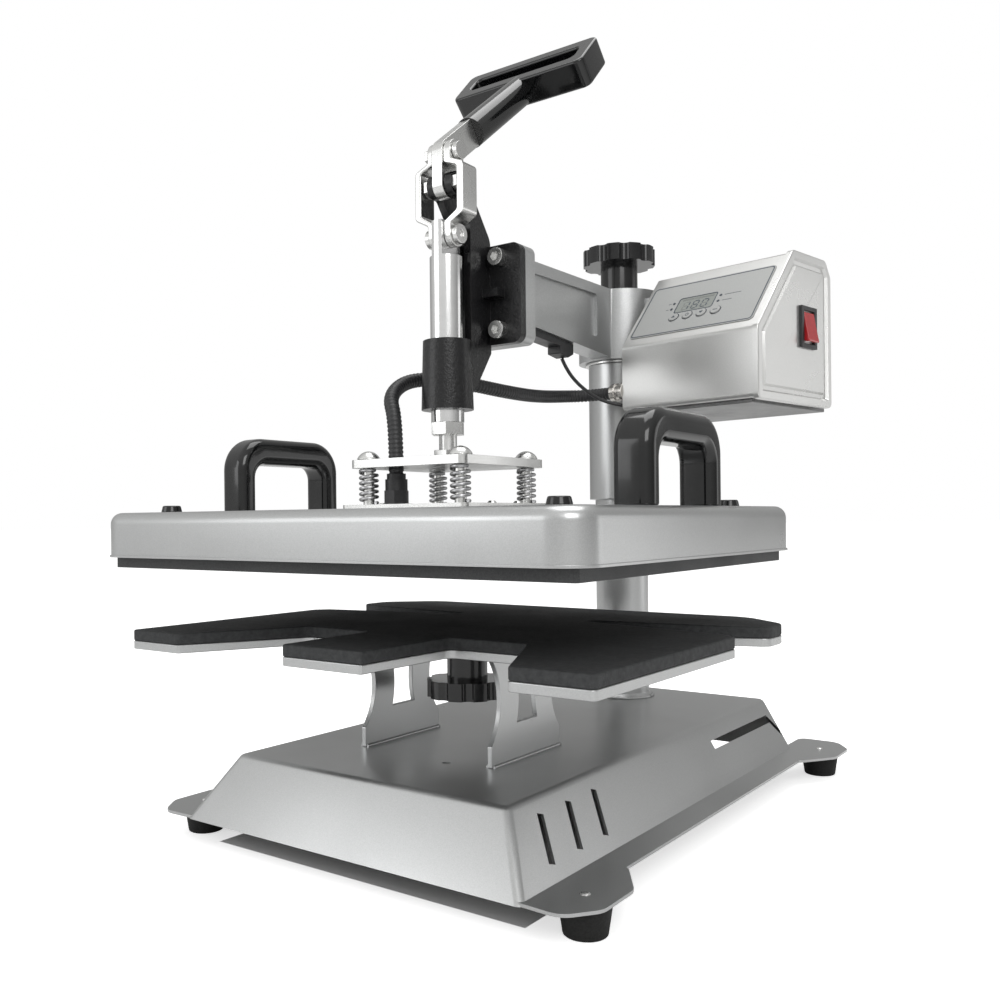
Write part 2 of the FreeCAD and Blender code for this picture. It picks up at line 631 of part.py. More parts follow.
def make_lever():
    eye = size.lever_eye
    rise = math.radians(size.lever_rise)
    fold = eye * (1 - math.sin(rise)) / math.cos(rise)
    outline = [(-eye, size.pivot_z - eye), (eye, size.pivot_z - eye),
               (eye, lever_frame(0, 0)[1] - fold), lever_frame(size.lever_reach, -eye),
               lever_frame(size.lever_reach, eye), (-eye, lever_frame(0, 0)[1] + fold)]
    bar = plate("YZ", [rounded(outline, [eye - 0.1, eye - 0.1, 10, 2, 2, 10])], "2 * lever_half", 0, True)
    holes = [cylinder("pin_radius + running_gap", 30, -15, 0, z, ALONG_X)
             for z in ("pivot_z", "pivot_z + crank")]
    keep("lever_bar", cut(bar, *holes))

    outer = "lever_half + body_gap + link_plate + body_gap"
    z_pin = "pivot_z + crank"
    pin = cylinder("pin_radius", "2 * (%s)" % outer, "-(%s)" % outer, 0, z_pin, ALONG_X)
    head = cylinder(6.4, 4, outer, 0, z_pin, ALONG_X)
    nut = hexagon(11, 4, "-(%s) - 4" % outer, 0, z_pin, ALONG_X)
    keep("crank_pin", fuse(pin, head, nut))

    turn = Rotation(Vector(1, 0, 0), size.lever_rise)
    axis = Rotation(Vector(1, 0, 0), size.lever_rise - 90)
    stem = document.addObject("Part::Cylinder", "stem")
    start = lever_frame(size.stem_start, 0)
    stem.Placement = Placement(Vector(0, size.press_y + start[0], start[1]), axis)
    bind(stem, Radius="stem_radius", Height="grip_start - stem_start")
    slot = document.addObject("Part::Box", "bar_slot")
    corner = lever_frame(size.stem_start - 1, -eye - 0.1)
    slot.Placement = Placement(Vector(-size.lever_half - 0.1, size.press_y + corner[0], corner[1]), turn)
    bind(slot, Length="2 * lever_half + 0.2", Width="lever_reach - stem_start + 1.1",
         Height="2 * lever_eye + 0.2")
    half, depth, bar_width = size.grip_half, size.grip_depth, size.grip_bar
    rim = rounded([(-half, 0), (half, 0), (half, depth), (-half, depth)], 7)
    hole = rounded([(-half + bar_width, bar_width), (half - bar_width, bar_width),
                    (half - bar_width, depth - bar_width), (-half + bar_width, depth - bar_width)], 5)
    grip = plate("XY", [rim, hole], "grip_thick", 0, True)
    grip.setExpression(".Placement.Base.y", None)
    place = lever_frame(size.grip_start, 0)
    lift = math.radians(size.grip_rise)
    near = Vector(0, size.press_y + place[0] - bar_width / 2 * math.cos(lift),
                  place[1] - bar_width / 2 * math.sin(lift))
    grip.Placement = Placement(near, Rotation(Vector(1, 0, 0), size.grip_rise))
    keep("handle_stem", cut(stem, slot, grip))
    keep("handle_grip", grip)


def make_links():
    inner = size.lever_half + size.body_gap
    outer = inner + size.link_plate
    out = size.link_bulge
    half, top = size.link_half, size.pivot_z + size.crank
    low = top - size.link_length
    knee_top, knee_low = size.pivot_z + size.ear_eye + 1.7, low + half + 7
    side_view = [(inner, low - half), (inner, low + half), (inner + out, knee_low), (inner + out, knee_top),
                 (inner, knee_top + 4), (inner, top + half), (outer, top + half),
                 (outer, top - 7), (outer + out, knee_top + 1), (outer + out, knee_low - 2),
                 (outer, low + 7.4), (outer, low - half)]
    bent = plate("XZ", [rounded(side_view, [0, 2, 3, 3, 2, 0, 0, 2, 4, 4, 2, 0])], "2 * link_half",
                 0, True)
    face = plate("YZ", [rounded([(-half, low - half), (half, low - half), (half, top + half),
                                 (-half, top + half)], half - 0.05)], 60, "-10")
    holes = [cylinder("pin_radius + running_gap", 60, -10, 0, z, ALONG_X)
             for z in ("pivot_z + crank", "pivot_z + crank - link_length")]
    right = cut(common(bent, face), *holes)
    keep("link_right", right)
    keep("link_left", mirrored(right))

    z_low = "pivot_z + crank - link_length"
    start = "lever_half + body_gap"
    shank = cylinder("pin_radius", "link_plate", start, 0, z_low, ALONG_X)
    head = cylinder(7, 4, "%s + link_plate" % start, 0, z_low, ALONG_X)
    socket = hexagon(5, 3, "%s + link_plate + 2" % start, 0, z_low, ALONG_X)
    bolt = cut(fuse(shank, head), socket)
    keep("link_stub_bolts", group(bolt, mirrored(bolt)))


# ---------------------------------------------------------------- height knob, plunger, pressure plate
def make_height_knob():
    knob = star_knob("top_knob_radius", "top_neck_radius", 10, "top_knob_bottom", "top_knob_height",
                     "hub_top + body_gap", "top_knob_bottom", "column_y")
    screw = cylinder("height_screw_radius", "hub_top + 20 - height_screw_bottom", 0, "column_y",
                     "height_screw_bottom")
    bore = cylinder("height_screw_radius + running_gap", 20.1, 0, "column_y", "hub_top")
    keep("height_knob", cut(knob, bore))
    keep("height_screw", screw)


def make_plunger():
    top = "pivot_z + crank - link_length + lever_eye"
    rod = cylinder("plunger_radius", "%s - plunger_bottom" % top, 0, 0, "plunger_bottom")
    flat_low = "pivot_z + crank - link_length - link_half - 6.5"
    flats = [box(x0, x1, -20, 20, flat_low, "%s + 1" % top)
             for x0, x1 in (("lever_half", 30), (-30, "-lever_half"))]
    pin_hole = cylinder("pin_radius + running_gap", 40, -20, 0, "pivot_z + crank - link_length", ALONG_X)
    stud_hole = cylinder("stud_radius + running_gap", 22, 0, 0, "plunger_bottom - 1")
    keep("plunger_rod", cut(rod, *(flats + [pin_hole, stud_hole])))
    stud_low = "press_plate_bottom"
    keep("plunger_stud", cylinder("stud_radius", "plunger_bottom + 18 - press_plate_bottom", 0, 0, stud_low))
    lock = hexagon("lock_nut_across", "lock_nut_height", 0, 0, "plunger_bottom - lock_nut_height")
    seat_z = "press_plate_bottom + press_plate"
    seat = hexagon(19, "seat_nut_height", 0, 0, seat_z)
    hole = "stud_radius + running_gap"
    keep("plunger_nuts", group(cut(lock, cylinder(hole, 20, 0, 0, "plunger_bottom - 15")),
                               cut(seat, cylinder(hole, 12, 0, 0, "%s - 2" % seat_z))))

    half = size.press_plate_half
    outline = rounded([(-half, -half), (half, -half), (half, half), (-half, half)], 5)
    place = size.float_bolt_place
    holes = [ring(x, y, size.float_bolt_radius + size.body_gap)
             for x in (-place, place) for y in (-place, place)]
    gland_hole = ring(size.gland_x, size.gland_y, 9)
    centre = ring(0, 0, size.stud_radius + size.running_gap)
    keep("pressure_plate", plate("XY", [outline, centre, gland_hole] + holes, "press_plate",
                                 "press_plate_bottom"))

    stack = size.cover_top + size.stiffener
    height = size.press_plate_bottom - stack - 0.4 - 2 * size.spring_wire
    coils = []
    for x in (-place, place):
        for y in (-place, place):
            path = Part.makeHelix(height / size.spring_turns, height, size.spring_radius)
            start = Vector(size.spring_radius, 0, 0)
            section = Part.Wire([Part.Circle(start, Vector(0, 1, 0.12), size.spring_wire).toShape()])
            coil = Part.Wire(path.Edges).makePipeShell([section], True, True)
            coil.translate(Vector(x, y + size.press_y, stack + 0.2 + size.spring_wire))
            coils.append(coil)
    springs = document.addObject("Part::Feature", "float_springs")
    springs.Shape = Part.makeCompound(coils)
    keep("float_springs", springs)


# ---------------------------------------------------------------- heated platen
def heater_bottom():
    return "table_bottom + table_plate + table_pad + 2 * crank + pad_gap"


def corner_places(x, y):
    return [("%d * %s" % (i, x), "%d * %s" % (j, y)) for i in (-1, 1) for j in (-1, 1)]


def slab(half_x, half_y, corner, thick, level, holes=()):
    outline = rounded([(-half_x, -half_y), (half_x, -half_y), (half_x, half_y), (-half_x, half_y)], corner)
    return plate("XY", [outline] + list(holes), thick, level)


def make_platen():
    low = heater_bottom()
    heater = slab(size.heater_half_x, size.heater_half_y, 3, "heater_plate", low)
    bolt_low = "%s + heater_plate - 8" % low
    top = "%s + heater_plate" % low
    posts = [cylinder(7, "cover_top - cover_sheet - (%s) + 1" % top, x, y, "%s - 1" % top)
             for x, y in corner_places("float_bolt_place", "float_bolt_place")]
    posts += [cylinder(5, "cover_top - cover_sheet - (%s) + 1" % top, x, y, "%s - 1" % top)
              for x, y in corner_places("cap_x", "cap_y")]
    bores = [cylinder("float_bolt_radius + 0.1", 60, x, y, bolt_low)
             for x, y in corner_places("float_bolt_place", "float_bolt_place")]
    bores += [cylinder(3.1, 12, x, y, "cover_top - 8")
              for x, y in corner_places("cap_x", "cap_y")]
    keep("heating_plate", cut(fuse(heater, *posts), group(*bores)))

    outer = slab(size.cover_half_x, size.cover_half_y, size.cover_corner, "cover_top - cover_bottom",
                 "cover_bottom")
    outer = soften(outer, size.cover_edge, lambda e: e.BoundBox.ZMin > size.cover_top - 0.1)
    wall = size.cover_sheet
    lip = slab(size.cover_half_x + 1, size.cover_half_y + 1, size.cover_corner + 1, 1.5, "cover_bottom")
    inner = slab(size.cover_half_x - wall, size.cover_half_y - wall, size.cover_corner - wall,
                 "cover_top - cover_bottom - cover_sheet + 1", "cover_bottom - 1")
    inner = soften(inner, size.cover_edge - wall,
                   lambda e: e.BoundBox.ZMin > size.cover_top - wall - 0.1)
    holes = [cylinder("float_bolt_radius + 0.1", 20, x, y, "cover_top - 10")
             for x, y in corner_places("float_bolt_place", "float_bolt_place")]
    holes += [cylinder(3.1, 20, x, y, "cover_top - 10") for x, y in corner_places("cap_x", "cap_y")]
    holes.append(cylinder(4, 20, "gland_x", "gland_y", "cover_top - 10"))
    keep("platen_cover", cut(fuse(outer, lip), inner, group(*holes)))

    loop_x, loop_y = size.heater_half_x - 38, size.heater_half_y - 32
    path = rounded([(-loop_x, -loop_y), (loop_x, -loop_y), (loop_x, loop_y), (-loop_x, loop_y)], 30)
    wire = Part.Wire([edge.toShape() for edge in path])
    level = size.table_bottom + size.table_plate + size.table_pad + 2 * size.crank + size.pad_gap
    first = wire.Edges[0].Vertexes[0].Point
    heading = wire.Edges[0].tangentAt(wire.Edges[0].FirstParameter)
    section = Part.Wire([Part.Circle(first, heading, 3.5).toShape()])
    element = document.addObject("Part::Feature", "element")
    element.Shape = wire.makePipeShell([section], True, False)
    element.Placement = Placement(Vector(0, size.press_y, level + size.heater_plate + 3.5), Rotation())
    keep("heater_element", element)

    caps = []
    for x, y in corner_places("cap_x", "cap_y"):
        dome = cone("cap_radius", "cap_radius - 1.2", "cap_height", x, y, "cover_top")
        peg = cylinder(3, 6, x, y, "cover_top - 6")
        caps.append(fuse(dome, peg))
    keep("cover_caps", group(*caps))

    place = size.float_bolt_place
    holes = [ring(x, y, size.float_bolt_radius + 0.1) for x in (-place, place) for y in (-place, place)]
    holes.append(ring(size.gland_x, size.gland_y, 4))
    holes += [ring(x, y, 1.6) for x, y in stiffener_screw_places()]
    keep("stiffener_plate", slab(size.stiffener_half, size.stiffener_half, 4, "stiffener", "cover_top",
                                 holes))
    keep("stiffener_screws", group(*[
        fuse(cylinder(1.5, 4, x, y, "cover_top"), cone(3.4, 2, 1.6, x, y, "cover_top + stiffener"))
        for x, y in stiffener_screw_places()]))

    bolts = []
    for x, y in corner_places("float_bolt_place", "float_bolt_place"):
        seat = "press_plate_bottom + press_plate + body_gap"
        shank = cylinder("float_bolt_radius", "%s - (%s)" % (seat, bolt_low), x, y, bolt_low)
        head = add("Part::Sphere", x, y, "%s - 3" % seat)
        bind(head, Radius=9)
        dome = common(head, cylinder(9, 7, x, y, seat))
        bolts.append(fuse(shank, dome))
    keep("float_bolts", group(*bolts))

    body = hexagon(16, 10, "gland_x", "gland_y", "cover_top + stiffener")
    collar = cylinder(8, 8, "gland_x", "gland_y", "cover_top + stiffener + 10")
    tip = cylinder(6.8, 4, "gland_x", "gland_y", "cover_top + stiffener + 18")
    gland = cut(fuse(body, collar, tip), cylinder(4, 30, "gland_x", "gland_y", "cover_top"))
    keep("platen_gland", gland)


def stiffener_screw_places():
    half = size.stiffener_half - 6
    return [(half, -16), (half, 16), (-half, -16), (-half, 16)]


def make_carry_handles():
    half, top, bar = size.carry_half, size.carry_top, size.carry_bar
    low = size.cover_top
    points = [(-half, low), (-half, top), (half, top), (half, low), (half - bar, low),
              (half - bar, top - bar - 4), (bar - half, top - bar - 4), (bar - half, low)]
    for name, side in (("carry_handle_left", -1), ("carry_handle_right", 1)):
        loop = plate("YZ", [rounded(points, [0, 26, 26, 0, 0, 11, 11, 0])], "carry_width",
                     "%d * carry_x" % side, True)
        loop = soften(loop, bar / 2 - 1.2,
                      lambda e: e.BoundBox.XLength < 0.01 and e.BoundBox.ZMax > low + 1)
        keep(name, loop)


# ---------------------------------------------------------------- controller
def box_outline(grow=0.0):
    """Side view of the controller: upright front, leaning control face, flat top."""
    depth, front, height, slope = size.box_depth, size.box_front, size.box_height, size.box_slope
    points = [(-grow, -grow), (-grow, front + grow * 0.3), (slope - grow * 0.5, height + grow),
              (depth - 8 + grow * 0.3, height + grow), (depth + grow, height - 12),
              (depth + grow, -grow)]
    return rounded(points, [4, 6, 6, 5, 6, 4])


def face_point(along, up, out=0.0):
    """A point of the leaning control face: along u, up the slope, out from the face."""
    run, rise = size.box_slope, size.box_height - size.box_front
    length = math.hypot(run, rise)
    return Vector(along, run / length * up - rise / length * out,
                  size.box_front + rise / length * up + run / length * out)


def face_turn():
    lean = math.degrees(math.atan2(size.box_height - size.box_front, size.box_slope))
    return Rotation(Vector(1, 0, 0), lean)


def on_face(thing, along, up, out):
    """Seat a piece that was built flat on the leaning control face."""
    seat = Placement(face_point(along, up, out), face_turn())
    frame = Placement(Vector(size.box_x, size.press_y + size.box_y, size.box_z),
                      Rotation(Vector(0, 0, 1), size.box_turn))
    thing.Placement = frame.multiply(seat).multiply(thing.Placement)
    return thing


def make_controller():
    shell = local_plate([box_outline()], "box_width", 0)
    hollow = local_plate([box_outline(-size.box_sheet)], "box_width", "box_sheet")
    tools = [hollow]
    tools.append(local_cylinder(5.1, 8, -4, 6, 17, ALONG_X))
    tools.append(local_cylinder(2.1, 8, -4, 6, 4.5, ALONG_X))
    for v in (60, 84):
        tools.append(local_cylinder(2.6, 8, -4, v, 82, ALONG_X))
    tools.append(local_cylinder(6.1, 10, "box_width - 28", "box_depth - 5", 20, ALONG_Y))
    run = math.hypot(size.box_slope, size.box_height - size.box_front)
    for along, up in button_places():
        hole = local_cylinder("button_radius + body_gap", 12, 0, 0, -8)
        seat = Placement(face_point(along, up, 0), face_turn())
        hole.Placement = seat.multiply(Placement(Vector(0, 0, -8), Rotation()))
        hole.setExpression(".Placement.Base.x", None)
        hole.setExpression(".Placement.Base.y", None)
        hole.setExpression(".Placement.Base.z", None)
        tools.append(hole)
    posts = [local_cylinder(3, 11.5, u, v, 0.5) for u in (20, 98) for v in (40, 102)]
    keep("controller_shell", in_controller(fuse(cut(shell, group(*tools)), *posts)))

    cap = local_plate([box_outline(1.5)], "end_cap", "box_width")
    rim_cut = local_plate([box_outline(-5)], 3, "box_width + end_cap - 1.2")
    window = local_box("box_width - 1", "box_width + end_cap + 1", "rocker_v - rocker_frame_half_v + 2",
                       "rocker_v + rocker_frame_half_v - 2", "rocker_z - rocker_frame_half_z + 2",
                       "rocker_z + rocker_frame_half_z - 2")
    keep("controller_end_cap", in_controller(cut(cap, rim_cut, window)))

    base = local_box(6, "box_width - 6", 8, "box_depth + 10", -3, 0)
    keep("controller_base_plate", in_controller(base))

    margin = size.panel_margin
    outline = rounded([(margin - 1, margin + 5), (size.box_width - margin, margin + 5),
                       (size.box_width - margin, run - margin - 10), (margin - 1, run - margin - 10)], 4)
    window_u, window_s = 56, 43
    window_outline = rounded([(window_u - 18, window_s - 9), (window_u + 18, window_s - 9),
                              (window_u + 18, window_s + 9), (window_u - 18, window_s + 9)], 2)
    buttons = [ring(u, s, size.button_radius + size.body_gap) for u, s in button_places()]
    label = free_plate([outline, window_outline] + buttons, "0.6")
    keep("control_panel", on_face(label, 0, 0, 0))
    glass = free_plate([window_outline], "0.5")
    keep("display_window", on_face(glass, 0, 0, 0))
    for i, (u, s) in enumerate(button_places()):
        disc = document.addObject("Part::Cylinder", "button")
        bind(disc, Radius="button_radius", Height=2.6)
        keep("panel_button_%d" % (i + 1), on_face(disc, u, s, -1.0))

    board = local_box(14, "box_width - 20", 34, 108, 12, 13.6)
    relay = local_box("box_width - 64", "box_width - 36", 44, 70, 13.6, 30)
    transformer = local_box(20, 52, 48, 86, 13.6, 42)
    keep("controller_board", in_controller(fuse(board, relay, transformer)))

    inlet_body = local_cylinder(6, 6, "box_width - 28", "box_depth - 4", 20, ALONG_Y)
    inlet_nut = local_cylinder(9, 12, "box_width - 28", "box_depth", 20, ALONG_Y)
    inlet_bore = local_cylinder(4, 40, "box_width - 28", "box_depth - 10", 20, ALONG_Y)
    keep("mains_gland", in_controller(cut(fuse(inlet_body, inlet_nut), inlet_bore)))

    lug_screws = [fuse(local_cylinder(2.5, 12, -10, v, 82, ALONG_X),
                       local_cylinder(4.5, 3, "box_sheet", v, 82, ALONG_X)) for v in (60, 84)]
    keep("controller_mount_screws", in_controller(group(*lug_screws)))

    metal = fuse(local_cylinder(5, 7, -4, 6, 17, ALONG_X), local_cylinder(8.5, 4, -4, 6, 17, ALONG_X),
                 local_cylinder(7, 5, -9, 6, 17, ALONG_X), local_cylinder(8, 5, -14, 6, 17, ALONG_X))
    keep("conduit_gland", in_controller(cut(metal, local_cylinder(4, 60, -30, 6, 17, ALONG_X))))


def free_plate(outlines, thick):
    """A thin plate padded up from its own plane, placed by its maker afterwards."""
    body = plate("XY", outlines, thick, 0)
    body.setExpression(".Placement.Base.y", None)
    body.Placement = Placement()
    return body


def button_places():
    return [(40.5 + 13.3 * i, 28.5) for i in range(4)]


def make_rocker():
    """The power switch in the right end: a framed body and a paddle that tips on a pin."""
    half_v, half_z = "rocker_frame_half_v", "rocker_frame_half_z"
    face = "box_width + end_cap - 1.2"
    frame = local_box(face, "%s + 3" % face, "rocker_v - %s" % half_v, "rocker_v + %s" % half_v,
                      "rocker_z - %s" % half_z, "rocker_z + %s" % half_z)
    case = local_box("box_width - 18", face, "rocker_v - %s + 2.2" % half_v,
                     "rocker_v + %s - 2.2" % half_v, "rocker_z - %s + 2.2" % half_z,
                     "rocker_z + %s - 2.2" % half_z)
    hollow = local_box("box_width - 10", "%s + 4" % face, "rocker_v - rocker_half_v - body_gap",
                       "rocker_v + rocker_half_v + body_gap", "rocker_z - rocker_half_z - 1",
                       "rocker_z + rocker_half_z + 1")
    keep("rocker_frame", in_controller(cut(fuse(frame, case), hollow)))

    lip = size.box_width + size.end_cap + 1.8
    z, half = size.rocker_z, size.rocker_half_z
    outline = [(lip + 1.6, z), (lip + 4.2, z - half), (lip - 7, z - half + 1.5), (lip - 10, z),
               (lip - 7, z + half - 1.5), (lip - 0.6, z + half)]
    paddle = plate("XZ", [rounded(outline, [6, 1, 3, 3, 3, 1])], "2 * rocker_half_v", 0, True)
    paddle.setExpression(".Placement.Base.y", None)
    frame_place = Placement(Vector(size.box_x, size.press_y + size.box_y, size.box_z),
                            Rotation(Vector(0, 0, 1), size.box_turn))
    paddle.Placement = frame_place.multiply(Placement(Vector(0, size.rocker_v, 0), Rotation()))
    keep("rocker_paddle", paddle)


# ---------------------------------------------------------------- wiring on the arm
def make_wiring():
    slope = (size.hub_bottom - size.beam_front_bottom) / (size.column_y - 20 - size.flange_front - 9)
    def under(y, drop):
        start = size.flange_front + size.flange_plate - 4
        return (y, size.beam_front_bottom + slope * (y - start) - drop)
    channel = [under(61, 0.05), under(150, 0.05), under(150, 6), under(61, 6)]
    keep("wire_channel", plate("YZ", [rounded(channel, 0.5)], 14, 0, True))
    sensor = [under(150.2, 0.1), under(172, 0.1), under(172, 9), under(164, 13), under(150.2, 12)]
    keep("timer_sensor", plate("YZ", [rounded(sensor, 0.8)], 13, 0, True))
    start = gland_mouth()
    end = (size.gland_x, size.gland_y, size.cover_top + size.stiffener + 22 + size.body_gap)
    turned = controller_point(-38, 6, 17)
    route = [start, turned, (-15.5, 194, 338), (-17, 150, 334), (-11, 96, 332), (-21, 47, 336),
             (-44, 14, 338), (-39, -20, 322), (size.gland_x, size.gland_y, 301), end]
    cord("conduit", route, size.conduit_radius)
    lead_end = controller_point(0, 6, 4.5)
    lead = [(0, 163, under(163, 13)[1] - 0.4), (3, 168, 354), (12, 183, 339), (25, 196, 329), lead_end]
    cord("sensor_lead", lead, 1.5)


def controller_point(u, v, z):
    turn = math.radians(size.box_turn)
    return (size.box_x + u * math.cos(turn) - v * math.sin(turn),
            size.box_y + u * math.sin(turn) + v * math.cos(turn), size.box_z + z)


def gland_mouth():
    return controller_point(-14.3, 6, 17)


# ---------------------------------------------------------------- build, check and write
make_base()
make_feet()
make_column()
make_table()
make_sleeve()
make_arm()
make_bracket()
make_lever()
make_links()
make_height_knob()
make_plunger()
make_platen()
make_carry_handles()
make_controller()
make_rocker()
make_wiring()
document.recompute()

for thing in document.Objects:
    if "Invalid" in thing.State or "Error" in thing.State:
        raise RuntimeError("%s (%s) did not compute" % (thing.Name, thing.Label))
os.makedirs("parts", exist_ok=True)
for name, thing in PARTS.items():
    shape = thing.Shape
    if shape.isNull() or not shape.isValid() or not shape.Solids:
        raise RuntimeError("%s has no valid solid" % name)
    shape.exportStep("parts/%s.step" % name)
print(len(PARTS), "nodes written")
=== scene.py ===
import math

import bmesh
import bpy
from mathutils import Matrix, Vector


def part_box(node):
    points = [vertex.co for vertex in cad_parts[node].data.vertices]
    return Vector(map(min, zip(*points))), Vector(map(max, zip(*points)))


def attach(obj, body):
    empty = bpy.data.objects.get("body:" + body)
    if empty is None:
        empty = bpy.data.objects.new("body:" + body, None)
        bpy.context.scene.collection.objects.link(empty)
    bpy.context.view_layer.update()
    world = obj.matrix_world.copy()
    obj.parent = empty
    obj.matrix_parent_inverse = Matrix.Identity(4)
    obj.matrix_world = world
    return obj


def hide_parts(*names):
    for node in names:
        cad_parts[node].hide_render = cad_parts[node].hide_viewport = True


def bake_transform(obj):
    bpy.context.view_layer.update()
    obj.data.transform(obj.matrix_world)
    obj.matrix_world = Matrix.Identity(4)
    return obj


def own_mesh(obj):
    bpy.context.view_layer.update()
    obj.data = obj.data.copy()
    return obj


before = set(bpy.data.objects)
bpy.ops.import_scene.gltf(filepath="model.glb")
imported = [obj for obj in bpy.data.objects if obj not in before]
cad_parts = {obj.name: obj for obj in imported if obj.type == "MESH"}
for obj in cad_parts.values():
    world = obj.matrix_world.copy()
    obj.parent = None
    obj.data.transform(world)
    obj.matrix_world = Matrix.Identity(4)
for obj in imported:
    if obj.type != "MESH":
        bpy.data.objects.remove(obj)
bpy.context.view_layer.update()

scene = bpy.context.scene


# ---------------------------------------------------------------- camera
# The press is seen from its front right, level, from a little above the lower table.  The
# frame is shifted, as in the photograph, rather than turned.
def placed(name, data):
    """A new object in the scene that shows a mesh, curve, lamp or camera."""
    thing = bpy.data.objects.new(name, data)
    scene.collection.objects.link(thing)
    return thing


sensor_width, focal_share = 36.0, 0.9968
camera_place = (0.4343, -0.6817, 0.2304)
yaw, pitch, roll = 0.6508, -0.0012, -0.0103
camera_data = bpy.data.cameras.new("press_camera")
camera_data.sensor_width = sensor_width
camera_data.lens = focal_share * sensor_width
camera_data.shift_x = 0.0569
camera_data.shift_y = 0.0201
camera = placed("press_camera", camera_data)
ahead = Vector((-math.sin(yaw) * math.cos(pitch), math.cos(yaw) * math.cos(pitch), math.sin(pitch)))
level = Vector((math.cos(yaw), math.sin(yaw), 0))
above = level.cross(ahead)
right = level * math.cos(roll) + above * math.sin(roll)
upward = above * math.cos(roll) - level * math.sin(roll)
camera.matrix_world = Matrix.Translation(camera_place) @ Matrix(
    (right, upward, -ahead)).transposed().to_4x4()
scene.camera = camera


# ---------------------------------------------------------------- conduit to the platen
# Ribbed black nylon conduit, 11 mm across, that carries the heater's wires.  It leaves the
# metal gland on the controller, passes behind the toggle and drops into the platen's gland.
def surface(name):
    """A new material, its node tree and its shader."""
    material = bpy.data.materials.new(name)
    material.use_nodes = True
    return material, material.node_tree, material.node_tree.nodes["Principled BSDF"]


def put(tree, kind, sockets=None, **settings):
    """A node of one kind with its settings and the values of its inputs."""
    node = tree.nodes.new("ShaderNode" + kind)
    for key, value in settings.items():
        setattr(node, key, value)
    for key, value in (sockets or {}).items():
        if isinstance(value, bpy.types.NodeSocket):
            tree.links.new(value, node.inputs[key])
        else:
            node.inputs[key].default_value = value
    return node


def worked(tree, operation, *values):
    """The result of one step of arithmetic on sockets and numbers."""
    return put(tree, "Math", dict(enumerate(values)), operation=operation).outputs[0]


def effect(name, inputs, outputs):
    """A new shader node group with named inputs and outputs."""
    group = bpy.data.node_groups.new(name, "ShaderNodeTree")
    for label, kind, value in inputs:
        socket = group.interface.new_socket(label, in_out="INPUT", socket_type="NodeSocket" + kind)
        socket.default_value = value
    for label, kind in outputs:
        group.interface.new_socket(label, in_out="OUTPUT", socket_type="NodeSocket" + kind)
    return group, group.nodes.new("NodeGroupInput").outputs, group.nodes.new("NodeGroupOutput").inputs


# soft patches of handling and moulding marks that vary a finish's roughness
handled, given, wanted = effect(
    "handled", [("Scale", "Float", 20.0), ("Low", "Float", 0.2), ("High", "Float", 0.4)],
    [("Roughness", "Float")])
place = put(handled, "TexCoord").outputs["Object"]
patches = put(handled, "TexNoise", {"Vector": place, "Scale": given["Scale"], "Detail": 5.0,
                                    "Roughness": 0.6})
spread = put(handled, "MapRange", {"Value": patches.outputs["Fac"], "From Min": 0.32, "From Max": 0.68})
level_of = put(handled, "MapRange", {"Value": spread.outputs["Result"], "To Min": given["Low"],
                                     "To Max": given["High"]})
handled.links.new(level_of.outputs["Result"], wanted["Roughness"])

# fine grain: a noise height and two near colours that it mixes
grain, given, wanted = effect(
    "grain", [("Scale", "Float", 900.0), ("Dark", "Color", (0, 0, 0, 1)), ("Light", "Color", (1, 1, 1, 1)),
              ("Contrast", "Float", 0.5)],
    [("Color", "Color"), ("Height", "Float")])
place = put(grain, "TexCoord").outputs["Object"]
specks = put(grain, "TexNoise", {"Vector": place, "Scale": given["Scale"], "Detail": 3.0,
                                 "Roughness": 0.65})
sharper = put(grain, "MapRange", {"Value": specks.outputs["Fac"], "From Min": 0.34, "From Max": 0.66})
mixed = put(grain, "Mix", data_type="RGBA")
grain.links.new(worked(grain, "MULTIPLY", sharper.outputs["Result"], given["Contrast"]), mixed.inputs[0])
grain.links.new(given["Dark"], mixed.inputs[6])
grain.links.new(given["Light"], mixed.inputs[7])
grain.links.new(mixed.outputs[2], wanted["Color"])
grain.links.new(sharper.outputs["Result"], wanted["Height"])


def textured(tree, shader, dark, light, grain_scale, roughness, mark_scale=20.0, contrast=0.5):
    """Colour from fine grain and roughness from handling marks; the grain's node comes back."""
    fine = put(tree, "Group", {"Scale": grain_scale, "Dark": (*dark, 1), "Light": (*light, 1),
                               "Contrast": contrast}, node_tree=grain)
    marks = put(tree, "Group", {"Scale": mark_scale, "Low": roughness[0], "High": roughness[1]},
                node_tree=handled)
    tree.links.new(fine.outputs["Color"], shader.inputs["Base Color"])
    tree.links.new(marks.outputs["Roughness"], shader.inputs["Roughness"])
    return fine


def grained(name, dark, light, grain_scale, contrast, bump, roughness, mark_scale, metallic=0.0,
            depth=0.00005, coat=0.0, coat_roughness=0.1, specular=0.5):
    """A finish made of fine grain, varied roughness and a small bump."""
    material, tree, shader = surface(name)
    fine = textured(tree, shader, dark, light, grain_scale, roughness, mark_scale, contrast)
    raised = put(tree, "Bump", {"Height": fine.outputs["Height"], "Strength": bump, "Distance": depth})
    tree.links.new(raised.outputs["Normal"], shader.inputs["Normal"])
    shader.inputs["Metallic"].default_value = metallic
    shader.inputs["Coat Weight"].default_value = coat
    shader.inputs["Coat Roughness"].default_value = coat_roughness
    shader.inputs["Specular IOR Level"].default_value = specular
    return material


nylon = grained("conduit_nylon", (0.012, 0.012, 0.013), (0.03, 0.03, 0.032), 700, 0.5, 0.15,
                (0.36, 0.5), 40)

